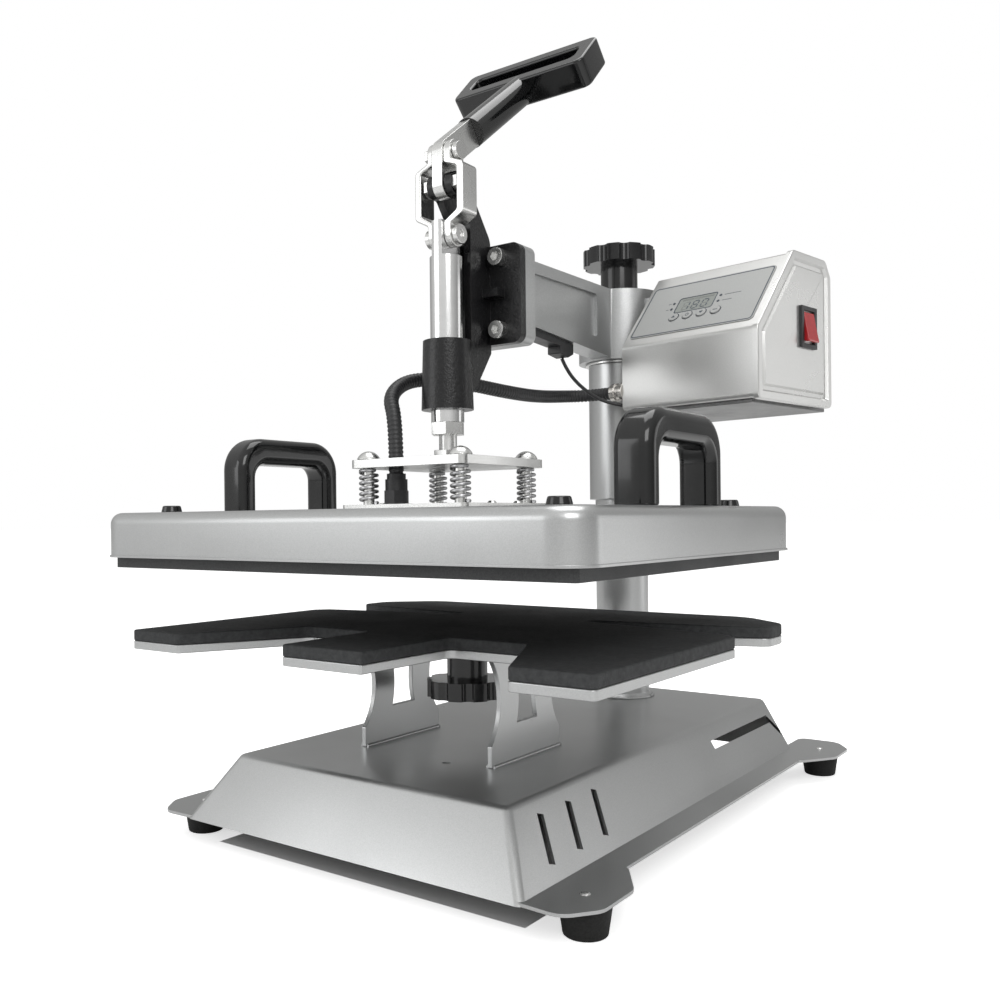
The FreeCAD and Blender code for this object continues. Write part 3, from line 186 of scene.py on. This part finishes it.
# the route's points are the ones in the CAD source, in metres
conduit_route = [(0.024915, 0.103824, 0.339), (0.001554, 0.107817, 0.339), (-0.0155, 0.0895, 0.338),
                 (-0.017, 0.0455, 0.334), (-0.011, -0.0085, 0.332), (-0.021, -0.0575, 0.336),
                 (-0.044, -0.0905, 0.338), (-0.039, -0.1245, 0.322), (-0.024, -0.1345, 0.301),
                 (-0.024, -0.1345, 0.2633)]


def walked(name, route, step):
    """Points about one step apart along the smooth line of a route, its two ends kept."""
    curve = bpy.data.curves.new(name, "CURVE")
    curve.dimensions = "3D"
    curve.resolution_u = 24
    spline = curve.splines.new("NURBS")
    spline.points.add(len(route) - 1)
    for point, where in zip(spline.points, route):
        point.co = (*where, 1)
    spline.order_u = 3
    spline.use_endpoint_u = True
    line = placed(name, curve)
    flat = bpy.data.meshes.new_from_object(line)
    path = [vertex.co.copy() for vertex in flat.vertices]
    bpy.data.meshes.remove(flat)
    bpy.data.objects.remove(line)
    reach = [0.0]
    for first, second in zip(path, path[1:]):
        reach.append(reach[-1] + (second - first).length)
    count = round(reach[-1] / step)
    evenly, i = [], 0
    for k in range(count + 1):
        target = reach[-1] * k / count
        while i < len(path) - 2 and reach[i + 1] < target:
            i += 1
        part = (target - reach[i]) / (reach[i + 1] - reach[i])
        evenly.append(path[i].lerp(path[i + 1], min(max(part, 0), 1)))
    return evenly


def walls(build, rings):
    """Faces that join each ring of points to the next one."""
    faces = []
    for low, high in zip(rings, rings[1:]):
        for k in range(len(low)):
            n = (k + 1) % len(low)
            faces.append(build.faces.new((low[k], low[n], high[n], high[k])))
    return faces


def swept(name, path, radius_at, sides=20):
    """A tube mesh along points, its radius given for each point by radius_at(index)."""
    mesh = bpy.data.meshes.new(name)
    build = bmesh.new()
    circle = [math.tau * k / sides for k in range(sides)]
    rings, side = [], Vector((0, 0, 1))
    for i, point in enumerate(path):
        heading = (path[min(i + 1, len(path) - 1)] - path[max(i - 1, 0)]).normalized()
        side = (side - heading * side.dot(heading)).normalized()
        across = heading.cross(side)
        radius = radius_at(i)
        rings.append([build.verts.new(point + (side * math.cos(turn) + across * math.sin(turn)) * radius)
                      for turn in circle])
    for face in walls(build, rings):
        face.smooth = True
    build.faces.new(reversed(rings[0]))
    build.faces.new(rings[-1])
    build.to_mesh(mesh)
    build.free()
    return placed(name, mesh)


rib_radii, rib_step = (0.0048, 0.0053, 0.0055, 0.0053), 0.0008
conduit_path = walked("conduit_line", conduit_route, rib_step)
conduit = swept("ribbed_conduit", conduit_path, lambda i: rib_radii[i % len(rib_radii)], 24)
conduit.data.materials.append(nylon)
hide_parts("conduit")
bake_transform(conduit)


# ---------------------------------------------------------------- sensor lead
# A thin black lead from the magnetic timer sensor under the arm to the controller's left
# wall.  It hangs in a short loop and moves with the head.
lead_route = [(0, 0.0585, 0.3664), (0.003, 0.0635, 0.354), (0.012, 0.0785, 0.339), (0.025, 0.0915, 0.329),
              (0.03901, 0.10141, 0.3265)]
lead_radius, lead_step = 0.0015, 0.0015
lead_path = walked("lead_line", lead_route, lead_step)
lead = swept("sensor_lead_cable", lead_path, lambda i: lead_radius, 12)
lead.data.materials.append(nylon)
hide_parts("sensor_lead")
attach(lead, "head")


# ---------------------------------------------------------------- base
# One pressed and folded steel sheet, 2 mm thick, with rounded folds, vent slots in its
# leaning sides and an ear at each corner for a foot.  It is sprayed in silver metallic
# paint, except underneath, where the faces turned down are bare steel coloured near black
# as painted shade, so that the inside seen through the vents stays dark.
silver = grained("silver_metallic_paint", (0.42, 0.425, 0.425), (0.53, 0.535, 0.535), 1500, 0.6,
                 0.04, (0.27, 0.37), 7, metallic=0.86, depth=0.00003, coat=0.25, coat_roughness=0.16)


def soften(piece, width, segments, degrees):
    """Rounds the edges of a piece where its faces meet at more than so many degrees."""
    ease = piece.modifiers.new("eased_edges", "BEVEL")
    ease.width = width
    ease.segments = segments
    ease.limit_method = "ANGLE"
    ease.angle_limit = math.radians(degrees)
    ease.harden_normals = True


def eased(node, body, material, width, segments=3):
    """A CAD piece remade with its corners eased, as a real edge is."""
    same_point, same_plane = 2e-6, math.radians(0.6)
    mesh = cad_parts[node].data.copy()
    if "custom_normal" in mesh.attributes:
        mesh.attributes.remove(mesh.attributes["custom_normal"])
    build = bmesh.new()
    build.from_mesh(mesh)
    bmesh.ops.remove_doubles(build, verts=build.verts, dist=same_point)
    bmesh.ops.dissolve_limit(build, angle_limit=same_plane, verts=build.verts, edges=build.edges)
    for face in build.faces:
        face.smooth = True
    build.to_mesh(mesh)
    build.free()
    mesh.materials.clear()
    mesh.materials.append(material)
    piece = placed(node + "_made", mesh)
    soften(piece, width, segments, 28)
    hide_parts(node)
    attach(piece, body)
    return piece


shell = eased("base_shell", "base", silver, 0.0005, 2)
# Faces turned downward get a near-black colour: bare steel, darkened as painted shade inside the base.
underside_shade = grained("bare_underside_painted_shade", (0.012, 0.012, 0.012), (0.03, 0.03, 0.029), 600, 0.5,
                    0.2, (0.6, 0.8), 20, specular=0.2)
shell.data.materials.append(underside_shade)
facing_down = -0.12
for face in shell.data.polygons:
    if face.normal.z < facing_down:
        face.material_index = 1


# ---------------------------------------------------------------- feet
# Four tapered rubber feet, each held under an ear by a washer and a cross-head screw.
rubber = grained("foot_rubber", (0.008, 0.008, 0.008), (0.022, 0.022, 0.021), 900, 0.6, 0.35,
                 (0.6, 0.78), 30, specular=0.3)
zinc = grained("bright_zinc", (0.64, 0.64, 0.63), (0.76, 0.76, 0.75), 900, 0.4, 0.05, (0.20, 0.30), 30,
               metallic=1.0, depth=0.00003)
eased("rubber_feet", "base", rubber, 0.0012)
eased("foot_fasteners", "base", zinc, 0.0003, 2)


# ---------------------------------------------------------------- column
# A 48 mm steel tube welded upright on the base, with a nut plug in its top for the height
# screw.  It is painted like the base.
eased("column_post", "base", silver, 0.0006)
eased("column_screw_nut", "base", zinc, 0.0004)


def bead(name, path, radius, seed):
    """A weld bead: a lumpy tube that is laid along a joint."""
    tube = swept(name, path, lambda i: radius * (1 + 0.16 * math.sin(i * 1.9 + seed) * math.sin(i * 0.63)),
                 10)
    tube.data.materials.append(silver)
    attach(tube, "base")


low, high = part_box("column_post")
centre = (low + high) / 2
weld_sunk, weld_rise, weld_points = 0.0006, 0.0008, 180
weld_radius = (high.x - low.x) / 2 - weld_sunk
bead("column_weld", [Vector((centre.x + weld_radius * math.cos(math.tau * k / weld_points),
                             centre.y + weld_radius * math.sin(math.tau * k / weld_points),
                             low.z + weld_rise)) for k in range(weld_points)], 0.0014, 0.4)


# ---------------------------------------------------------------- lower table
# A 6 mm painted plate cut with three fingers and two side slots, faced with an 8 mm sheet
# of black silicone sponge.  Two hourglass brackets welded to the base carry it.
sponge, tree, shader = surface("silicone_sponge")
textured(tree, shader, (0.030, 0.031, 0.032), (0.062, 0.064, 0.065), 260, (0.72, 0.92), 14)
place = put(tree, "TexCoord").outputs["Object"]
cells = put(tree, "TexVoronoi", {"Vector": place, "Scale": 1500.0})
pores = put(tree, "MapRange", {"Value": cells.outputs["Distance"], "From Min": 0.1, "From Max": 0.7})
raised = put(tree, "Bump", {"Height": pores.outputs["Result"], "Strength": 0.5, "Distance": 0.0002})
tree.links.new(raised.outputs["Normal"], shader.inputs["Normal"])
shader.inputs["Specular IOR Level"].default_value = 0.3
eased("table_plate", "base", silver, 0.0008)
pad = eased("table_pad", "base", sponge, 0.0012)
eased("table_brackets", "base", silver, 0.0006)
eased("table_strap", "base", silver, 0.0005)
eased("table_stud", "base", zinc, 0.0004)
low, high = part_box("table_brackets")
sheet_middle, bead_offset, bead_inset, bead_rise, bead_points = 0.002, 0.0024, 0.001, 0.0006, 60
for side in (-1, 1):
    for face in (-1, 1):
        edge_x = side * (high.x - sheet_middle) + face * bead_offset
        run = high.y - low.y - 2 * bead_inset
        foot_line = [Vector((edge_x, low.y + bead_inset + run * k / bead_points, low.z + bead_rise))
                     for k in range(bead_points + 1)]
        bead("bracket_weld_%s_%s" % ("lr"[side > 0], "io"[face > 0]), foot_line, 0.0013, side + face)


# ---------------------------------------------------------------- table clamp knob
# A lobed black bakelite knob on a stud under the table; it clamps the table's plate.
bakelite = grained("black_bakelite", (0.003, 0.003, 0.0035), (0.009, 0.009, 0.0095), 240, 0.5, 0.05,
                   (0.12, 0.24), 30, coat=0.25, coat_roughness=0.07, specular=0.35)
eased("table_clamp_knob", "table_knob", bakelite, 0.0016)


# ---------------------------------------------------------------- lift sleeve
# A painted tube that slides on the column and carries the arm on a thrust washer.
eased("lift_sleeve", "sleeve", silver, 0.0006)
eased("thrust_washer", "sleeve", zinc, 0.0003, 2)


# ---------------------------------------------------------------- arm
# A silver-painted iron casting: the hub that turns on the column, a deep ribbed beam and
# the face that the toggle bracket bolts to.  The cast skin shows slightly through the paint.
cast_silver = grained("silver_paint_on_casting", (0.40, 0.405, 0.405), (0.52, 0.525, 0.525), 900, 0.5,
                      0.22, (0.30, 0.42), 14, metallic=0.82, depth=0.00010, coat=0.25,
                      coat_roughness=0.18)
eased("arm_casting", "head", cast_silver, 0.0016)
eased("wire_channel", "head", nylon, 0.0006)
eased("timer_sensor", "head", nylon, 0.0008)


# ---------------------------------------------------------------- toggle bracket
# A black cast bracket bolted to the arm's face by four socket screws.  It holds the guide
# barrel for the plunger and two cheeks for the lever's fulcrum.
cast_black = grained("black_paint_on_casting", (0.003, 0.003, 0.0035), (0.010, 0.010, 0.011), 380, 0.5,
                     0.6, (0.24, 0.38), 24, depth=0.0003, coat=0.18, coat_roughness=0.16, specular=0.35)
eased("toggle_bracket", "head", cast_black, 0.0012)
eased("arm_bolts", "head", zinc, 0.0005)
eased("fulcrum_pin", "head", zinc, 0.0005)


# ---------------------------------------------------------------- lever, links and grip
# The zinc-plated lever bar turns on the fulcrum; two bulged links hang from its crank pin
# and push the plunger.  A moulded black stem and grip loop cover the bar's end.
eased("lever_bar", "lever", zinc, 0.0012)
eased("crank_pin", "lever", zinc, 0.0006)
eased("link_left", "links", zinc, 0.0014)
eased("link_right", "links", zinc, 0.0014)
eased("link_stub_bolts", "links", zinc, 0.0006)
gloss_black = grained("gloss_black_plastic", (0.002, 0.0022, 0.0024), (0.006, 0.0063, 0.0067), 160, 0.5,
                      0.04, (0.08, 0.18), 26, coat=0.3, coat_roughness=0.04, specular=0.4)
eased("handle_stem", "lever", gloss_black, 0.0015)
eased("handle_grip", "lever", gloss_black, 0.0042, 5)


# ---------------------------------------------------------------- plunger
# A chromed rod guided by the barrel, with a threaded stud, two hex nuts and the square zinc
# plate that presses on the platen's springs.
chrome = grained("plunger_chrome", (0.70, 0.70, 0.70), (0.78, 0.78, 0.78), 90, 0.5, 0.03, (0.13, 0.2), 40,
                 metallic=1.0, depth=0.00002)
eased("plunger_rod", "plunger", chrome, 0.0006)
eased("plunger_nuts", "plunger", zinc, 0.0007)
eased("pressure_plate", "plunger", zinc, 0.0007)
eased("plunger_stud", "plunger", zinc, 0.0003)


# ---------------------------------------------------------------- platen
# The heated aluminium plate, coated dark, under a pressed steel cover painted silver.  Domed
# bolts and four springs hang it from the pressure plate so that it floats level.
coating = grained("dark_platen_coating", (0.030, 0.031, 0.032), (0.062, 0.063, 0.064), 1400, 0.6, 0.2,
                  (0.4, 0.56), 16, metallic=0.25, depth=0.00004, specular=0.35)
eased("heating_plate", "platen", coating, 0.0008)
eased("platen_cover", "platen", silver, 0.0005, 2)
eased("stiffener_plate", "platen", zinc, 0.0006)
eased("stiffener_screws", "platen", zinc, 0.0003, 2)
eased("float_bolts", "platen", zinc, 0.0005)
eased("cover_caps", "platen", bakelite, 0.0009)


# ---------------------------------------------------------------- float springs
# Four zinc compression springs between the cover's stiffener and the pressure plate, with
# their end turns closed.
wire = grained("spring_wire", (0.42, 0.42, 0.43), (0.66, 0.66, 0.67), 300, 0.6, 0.05, (0.24, 0.4), 50,
               metallic=1.0)
spring_low, spring_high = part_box("float_springs")
spring_middle = (spring_low + spring_high) / 2
spring_offset, coil_radius, wire_radius = 0.0407, 0.006, 0.0012
turns, points_per_turn, closed_share = 6, 28, 0.06
spring_rise = spring_high.z - spring_low.z - 2 * wire_radius
for place_x in (-1, 1):
    for place_y in (-1, 1):
        foot = Vector((spring_middle.x + place_x * spring_offset, spring_middle.y + place_y * spring_offset,
                       spring_low.z + wire_radius))
        steps = turns * points_per_turn
        helix = []
        for k in range(steps + 1):
            turn = math.tau * turns * k / steps
            climb = k / steps
            if climb < closed_share or climb > 1 - closed_share:
                climb = 0.5 - 0.5 * math.cos(math.pi * climb)
            helix.append(foot + Vector((coil_radius * math.cos(turn), coil_radius * math.sin(turn),
                                        spring_rise * climb)))
        spring = swept("spring_%s%s" % ("lr"[place_x > 0], "fb"[place_y > 0]), helix,
                       lambda i: wire_radius, 12)
        spring.data.materials.append(wire)
        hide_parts("float_springs")
        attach(spring, "platen")
        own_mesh(spring)


# ---------------------------------------------------------------- carry handles
# Two glossy black moulded handles screwed to the cover from below.
for name in ("carry_handle_left", "carry_handle_right"):
    eased(name, "platen", gloss_black, 0.0012, 2)


# ---------------------------------------------------------------- glands
# The black nylon gland on the platen and the nickel gland on the controller clamp the
# conduit's two ends; a third gland at the back takes the mains cord.
nickel = grained("nickel_plate", (0.55, 0.53, 0.50), (0.72, 0.70, 0.66), 300, 0.5, 0.06,
                 (0.18, 0.32), 50, metallic=1.0)
eased("platen_gland", "platen", nylon, 0.0006)
eased("conduit_gland", "head", nickel, 0.0006)
eased("mains_gland", "head", nylon, 0.0006)


# ---------------------------------------------------------------- height knob
# A lobed bakelite knob on top of the column; its screw raises and lowers the head.
eased("height_knob", "height_knob", bakelite, 0.0018)
eased("height_screw", "height_knob", zinc, 0.0004)


# ---------------------------------------------------------------- controller
# A folded sheet box with a leaning control face, sprayed glossy silver.  It hangs on the
# column's right by a base plate, and a pressed cap with a raised rim closes its right end.
box_width, box_depth, box_front, box_height, box_slope = 0.124, 0.118, 0.054, 0.121, 0.056
back_chop_depth, back_chop_height = 0.008, 0.012
cap_thick, box_turn = 0.005, math.radians(-9.7)
box_place = Matrix.Translation((0.038, 0.0955, 0.322)) @ Matrix.Rotation(box_turn, 4, "Z")
gloss_silver = grained("controller_silver_paint", (0.56, 0.56, 0.55), (0.66, 0.66, 0.65), 1500, 0.5,
                       0.03, (0.26, 0.35), 8, metallic=0.8, depth=0.00003, coat=0.25,
                       coat_roughness=0.12)
eased("controller_shell", "head", gloss_silver, 0.0014, 3)
dark_steel = grained("dark_steel", (0.16, 0.16, 0.16), (0.25, 0.25, 0.25), 700, 0.5, 0.12,
                     (0.34, 0.48), 30, metallic=0.9)
eased("controller_base_plate", "head", dark_steel, 0.0006)
eased("controller_mount_screws", "head", zinc, 0.0004, 2)


def box_side(grow):
    """The controller's side outline, rounded at its corners, grown outward by grow."""
    least_radius, arc_steps = 0.0012, 6
    corners = [((-grow, -grow), 0.004), ((-grow, box_front + grow * 0.3), 0.006),
               ((box_slope - grow * 0.5, box_height + grow), 0.006),
               ((box_depth - back_chop_depth + grow * 0.3, box_height + grow), 0.005),
               ((box_depth + grow, box_height - back_chop_height), 0.006),
               ((box_depth + grow, -grow), 0.004)]
    outline = []
    for i, (corner, radius) in enumerate(corners):
        corner = Vector(corner)
        before = (Vector(corners[i - 1][0]) - corner).normalized()
        after = (Vector(corners[(i + 1) % len(corners)][0]) - corner).normalized()
        half = before.angle(after) / 2
        radius = max(radius + grow, least_radius)
        centre = corner + (before + after).normalized() * (radius / math.sin(half))
        first = corner + before * (radius / math.tan(half)) - centre
        last = corner + after * (radius / math.tan(half)) - centre
        sweep = first.angle_signed(last)
        outline += [centre + Matrix.Rotation(-sweep * k / arc_steps, 2) @ first
                    for k in range(arc_steps + 1)]
    return outline


# the cap's profile: how far each ring stands beyond the box's side outline, and how far out
cap_profile = [(0.0015, 0), (0.0015, cap_thick - 0.0009), (0.0011, cap_thick - 0.0003),
               (0.0004, cap_thick), (-0.0046, cap_thick), (-0.0062, cap_thick - 0.0024),
               (-0.0094, cap_thick - 0.0026), (-0.0110, cap_thick - 0.0008)]
cap_mesh = bpy.data.meshes.new("pressed_end_cap")
build = bmesh.new()
rings = [[build.verts.new(box_place @ Vector((box_width + out, point.x, point.y)))
          for point in box_side(grow)] for grow, out in cap_profile]
walls(build, rings)
build.faces.new(rings[-1])
build.faces.new(reversed(rings[0]))
bmesh.ops.recalc_face_normals(build, faces=build.faces)
for face in build.faces:
    face.smooth = True
build.to_mesh(cap_mesh)
build.free()
cap_mesh.materials.append(gloss_silver)
end_cap = placed("pressed_end_cap", cap_mesh)
soften(end_cap, 0.0004, 2, 20)
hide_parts("controller_end_cap")
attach(end_cap, "head")


# ---------------------------------------------------------------- control panel
# A satin grey film on the leaning face with a dark border line, a liquid crystal window, four
# round membrane keys with plain signs, and small status lamps.  Sizes here are in millimetres.
film = grained("panel_film", (0.30, 0.305, 0.30), (0.37, 0.375, 0.37), 1200, 0.4, 0.05, (0.34, 0.44), 20)
ink = grained("panel_ink", (0.018, 0.028, 0.042), (0.032, 0.044, 0.06), 1600, 0.5, 0.02,
              (0.34, 0.46), 60)
crystal_glass = grained("crystal_glass", (0.20, 0.215, 0.20), (0.25, 0.265, 0.25), 300, 0.4, 0.01,
                        (0.08, 0.16), 30, coat=0.5, coat_roughness=0.04)
faint_ink = grained("unlit_segment", (0.15, 0.16, 0.15), (0.18, 0.19, 0.18), 900, 0.5, 0.02,
                    (0.2, 0.3), 60)
eased("control_panel", "head", film, 0.0002, 2)
eased("display_window", "head", crystal_glass, 0.0001, 2)
for i in range(1, 5):
    eased("panel_button_%d" % i, "button_%d" % i, film, 0.0005)
face_rise = box_height - box_front
face_length = math.hypot(box_slope, face_rise)
film_top, glass_top, key_top = 0.58, 0.49, 1.56


def on_face(along, up, out):
    """A point of the leaning face, in millimetres along it, up it and out from it."""
    along, up, out = along / 1000, up / 1000, out / 1000
    return box_place @ Vector((along, (box_slope * up - face_rise * out) / face_length,
                               box_front + (face_rise * up + box_slope * out) / face_length))


def printed(name, shapes, base, thick, material, body):
    """Flat inked shapes on the face; each is an outline and, if it is a band, its inner one."""
    mesh = bpy.data.meshes.new(name)
    build = bmesh.new()
    for outer, inner in shapes:
        bottom, top = ([build.verts.new(on_face(u, s, out)) for u, s in outer]
                       for out in (base, base + thick))
        if inner:
            inner_bottom, inner_top = ([build.verts.new(on_face(u, s, out)) for u, s in inner]
                                       for out in (base, base + thick))
            walls(build, [bottom, top, inner_top, inner_bottom, bottom])
        else:
            walls(build, [bottom, top])
            build.faces.new(top)
            build.faces.new(reversed(bottom))
    build.to_mesh(mesh)
    build.free()
    mesh.materials.append(material)
    shape = placed(name, mesh)
    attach(shape, body)


def round_box(u0, u1, s0, s1, radius):
    """A rectangle's outline with rounded corners."""
    outline = []
    for u, s, start in ((u1 - radius, s0 + radius, -90), (u1 - radius, s1 - radius, 0),
                        (u0 + radius, s1 - radius, 90), (u0 + radius, s0 + radius, 180)):
        for k in range(7):
            turn = math.radians(start + 15 * k)
            outline.append((u + radius * math.cos(turn), s + radius * math.sin(turn)))
    return outline


def disc(u, s, radius, sides=32):
    """A circle's outline."""
    return [(u + radius * math.cos(math.tau * k / sides), s + radius * math.sin(math.tau * k / sides))
            for k in range(sides)]


panel_right, panel_top = box_width * 1000 - 4, face_length * 1000 - 14
printed("panel_border", [(round_box(4.0, panel_right - 1.0, 10.0, panel_top - 1.0, 3.2),
                          round_box(5.1, panel_right - 2.1, 11.1, panel_top - 2.1, 2.4))],
        film_top, 0.06, ink, "head")
key_places = [(40.5 + 13.3 * i, 28.5) for i in range(4)]
printed("key_outlines", [(disc(u, s, 4.95), disc(u, s, 4.55)) for u, s in key_places],
        film_top, 0.06, ink, "head")
signs = [([(-1.9, -1.2), (1.9, -1.2), (0, 1.7)], None),
         (disc(0, 0, 1.7, 24), disc(0, 0, 1.1, 24)),
         ([(-1.9, 1.2), (0, -1.7), (1.9, 1.2)], None),
         ([(-2.0, -0.45), (2.0, -0.45), (2.0, 0.45), (-2.0, 0.45)], None)]
for i, ((u, s), sign) in enumerate(zip(key_places, signs), 1):
    moved = tuple(outline and [(u + a, s + b) for a, b in outline] for outline in sign)
    printed("key_sign_%d" % i, [moved], key_top, 0.08, ink, "button_%d" % i)
lamps = [(33.5, 47), (33.5, 40), (78.5, 47), (78.5, 40)]
printed("status_lamps", [(disc(u, s, 1.25, 20), None) for u, s in lamps],
        film_top, 0.32, ink, "head")
dashes = [(82, 97, 47), (82, 91, 40), (28, 30.5, 47), (28, 30.5, 40)]
printed("lamp_dashes", [([(u0, s - 0.3), (u1, s - 0.3), (u1, s + 0.3), (u0, s + 0.3)], None)
                        for u0, u1, s in dashes], film_top, 0.06, ink, "head")
printed("window_frame", [(round_box(37.4, 74.6, 33.7, 52.6, 2.4), round_box(38.3, 73.7, 34.6, 51.7, 1.8))],
        film_top, 0.08, ink, "head")


def segments(u, s, shown):
    """The shown strokes of one seven-segment digit whose lower left corner is at u, s."""
    wide, tall, half, taper, lean = 5.2, 9.2, 0.55, 0.5, 0.10

    def stroke(long, tip):
        """A pointed bar that ends a little short of the bars it meets."""
        return [(tip, 0), (tip + taper, half), (long - tip - taper, half), (long - tip, 0),
                (long - tip - taper, -half), (tip + taper, -half)]

    strokes = [[(x, rise + y) for x, y in stroke(wide, 0.5)]
               for number, rise in ((0, tall), (3, tall / 2), (6, 0)) if number in shown]
    strokes += [[(edge + y, rise + x) for x, y in stroke(tall / 2, 0.4)]
                for number, edge, rise in ((1, 0, tall / 2), (2, wide, tall / 2), (4, 0, 0), (5, wide, 0))
                if number in shown]
    return [([(u + a + b * lean, s + b) for a, b in points], None) for points in strokes]


# strokes in the order top, upper left, upper right, middle, lower left, lower right, bottom
digit_strokes = {1: {2, 5}, 8: set(range(7)), 0: {0, 1, 2, 4, 5, 6}}
digit_start, digit_pitch, digit_foot = 44, 9, 36.8
lit, unlit = [], []
for place, digit in enumerate((1, 8, 0)):
    corner = digit_start + digit_pitch * place
    lit += segments(corner, digit_foot, digit_strokes[digit])
    unlit += segments(corner, digit_foot, set(range(7)) - digit_strokes[digit])
printed("display_digits", lit, glass_top, 0.06, ink, "head")
printed("display_unlit", unlit, glass_top, 0.04, faint_ink, "head")
printed("display_header", [([(41, 48.2), (71.5, 48.2), (71.8, 50.4), (41.3, 50.4)], None)],
        glass_top, 0.04, faint_ink, "head")


# ---------------------------------------------------------------- power switch
# A snap-in rocker switch in the end cap: a black frame round a glossy red paddle.
eased("rocker_frame", "head", nylon, 0.0006)
red, tree, shader = surface("red_rocker_plastic")
textured(tree, shader, (0.32, 0.006, 0.010), (0.44, 0.014, 0.018), 120, (0.10, 0.2))
shader.inputs["Coat Weight"].default_value = 0.5
eased("rocker_paddle", "rocker", red, 0.0006)


# ---------------------------------------------------------------- pieces inside the housings
# The heater element under the cover and the controller's circuit board are out of sight.
board = grained("circuit_board", (0.02, 0.10, 0.05), (0.04, 0.16, 0.08), 300, 0.5, 0.1, (0.4, 0.6), 30)
steel = grained("element_steel", (0.20, 0.19, 0.18), (0.34, 0.33, 0.31), 300, 0.5, 0.1,
                (0.35, 0.5), 30, metallic=1.0)
for name, material in (("controller_board", board), ("heater_element", steel)):
    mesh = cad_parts[name].data
    mesh.materials.clear()
    mesh.materials.append(material)


# ---------------------------------------------------------------- floor and lights
# A plain pale floor that meets an equally pale surround, and soft studio light from large
# boxes.  Seen directly, the floor glows up to the surround's white, except in a rectangle
# under the base where the glow is left off: a painted shadow patch, whose darkness is the
# floor's rendered shade.  In reflections the surround is darker, so that metal shows its shape.
floor_half, floor_lift, shade_patch_half_width, shade_patch_half_length = 30, 0.62, 0.13, 0.21
floor_mesh = bpy.data.meshes.new("studio_floor")
build = bmesh.new()
bmesh.ops.create_grid(build, x_segments=1, y_segments=1, size=floor_half)
build.to_mesh(floor_mesh)
build.free()
floor = placed("studio_floor", floor_mesh)
pale, tree, shader = surface("pale_floor")
shader.inputs["Base Color"].default_value = (0.88, 0.88, 0.88, 1)
shader.inputs["Roughness"].default_value = 0.9
shader.inputs["Specular IOR Level"].default_value = 0.1
spot = put(tree, "SeparateXYZ", {"Vector": put(tree, "TexCoord").outputs["Object"]}).outputs
# The glow is left off in a rectangle under the base, a painted shadow patch where the floor's rendered
# shade shows.
beside = worked(tree, "GREATER_THAN", worked(tree, "ABSOLUTE", spot["X"]), shade_patch_half_width)
beyond = worked(tree, "GREATER_THAN", worked(tree, "ABSOLUTE", spot["Y"]), shade_patch_half_length)
open_floor = worked(tree, "MAXIMUM", beside, beyond)
seen = worked(tree, "MULTIPLY", put(tree, "LightPath").outputs["Is Camera Ray"], open_floor)
tree.links.new(worked(tree, "MULTIPLY", seen, floor_lift), shader.inputs["Emission Strength"])
shader.inputs["Emission Color"].default_value = (1, 1, 1, 1)
floor_mesh.materials.append(pale)

world = bpy.data.worlds.new("studio")
world.use_nodes = True
tree = world.node_tree
dim = tree.nodes["Background"]
sky = put(tree, "SeparateXYZ", {"Vector": put(tree, "TexCoord").outputs["Generated"]}).outputs
climb = put(tree, "MapRange", {"Value": sky["Z"], "From Max": 0.8, "To Min": 0.0, "To Max": 0.30})
front = put(tree, "MapRange", {"Value": sky["Y"], "From Min": 0.4, "From Max": -0.7,
                               "To Min": 0.28, "To Max": 0.74})
tree.links.new(worked(tree, "ADD", climb.outputs["Result"], front.outputs["Result"]),
               dim.inputs["Strength"])
dim.inputs["Color"].default_value = (1, 1, 0.99, 1)
white = put(tree, "Background", {"Color": (1, 1, 1, 1), "Strength": 1.0})
both = put(tree, "MixShader", {0: put(tree, "LightPath").outputs["Is Camera Ray"],
                               1: dim.outputs["Background"], 2: white.outputs["Background"]})
tree.links.new(both.outputs["Shader"], tree.nodes["World Output"].inputs["Surface"])
scene.world = world


def soft_light(name, where, toward, wide, tall, watts, tint=(1, 1, 1)):
    """A large soft box aimed at a point; the camera doesn't see it."""
    lamp = bpy.data.lights.new(name, "AREA")
    lamp.shape = "RECTANGLE"
    lamp.size = wide
    lamp.size_y = tall
    lamp.energy = watts
    lamp.color = tint
    light = placed(name, lamp)
    light.location = where
    light.rotation_euler = (Vector(toward) - Vector(where)).to_track_quat("-Z", "Y").to_euler()
    light.visible_camera = False


soft_light("front_softbox", (1.6, -1.4, 1.5), (0, 0, 0.3), 1.1, 1.1, 16)
soft_light("left_softbox", (-1.05, -1.6, 0.74), (0, 0, 0.35), 0.95, 0.8, 4.8, (0.98, 0.99, 1))
soft_light("back_softbox", (1.55, 1.45, 0.45), (0, 0, 0.35), 0.9, 0.95, 2.6)
soft_light("top_softbox", (0.1, 0.1, 1.9), (0, 0, 0.2), 1.2, 1.2, 14)
scene.view_settings.view_transform = "Standard"
scene.view_settings.look = "None"
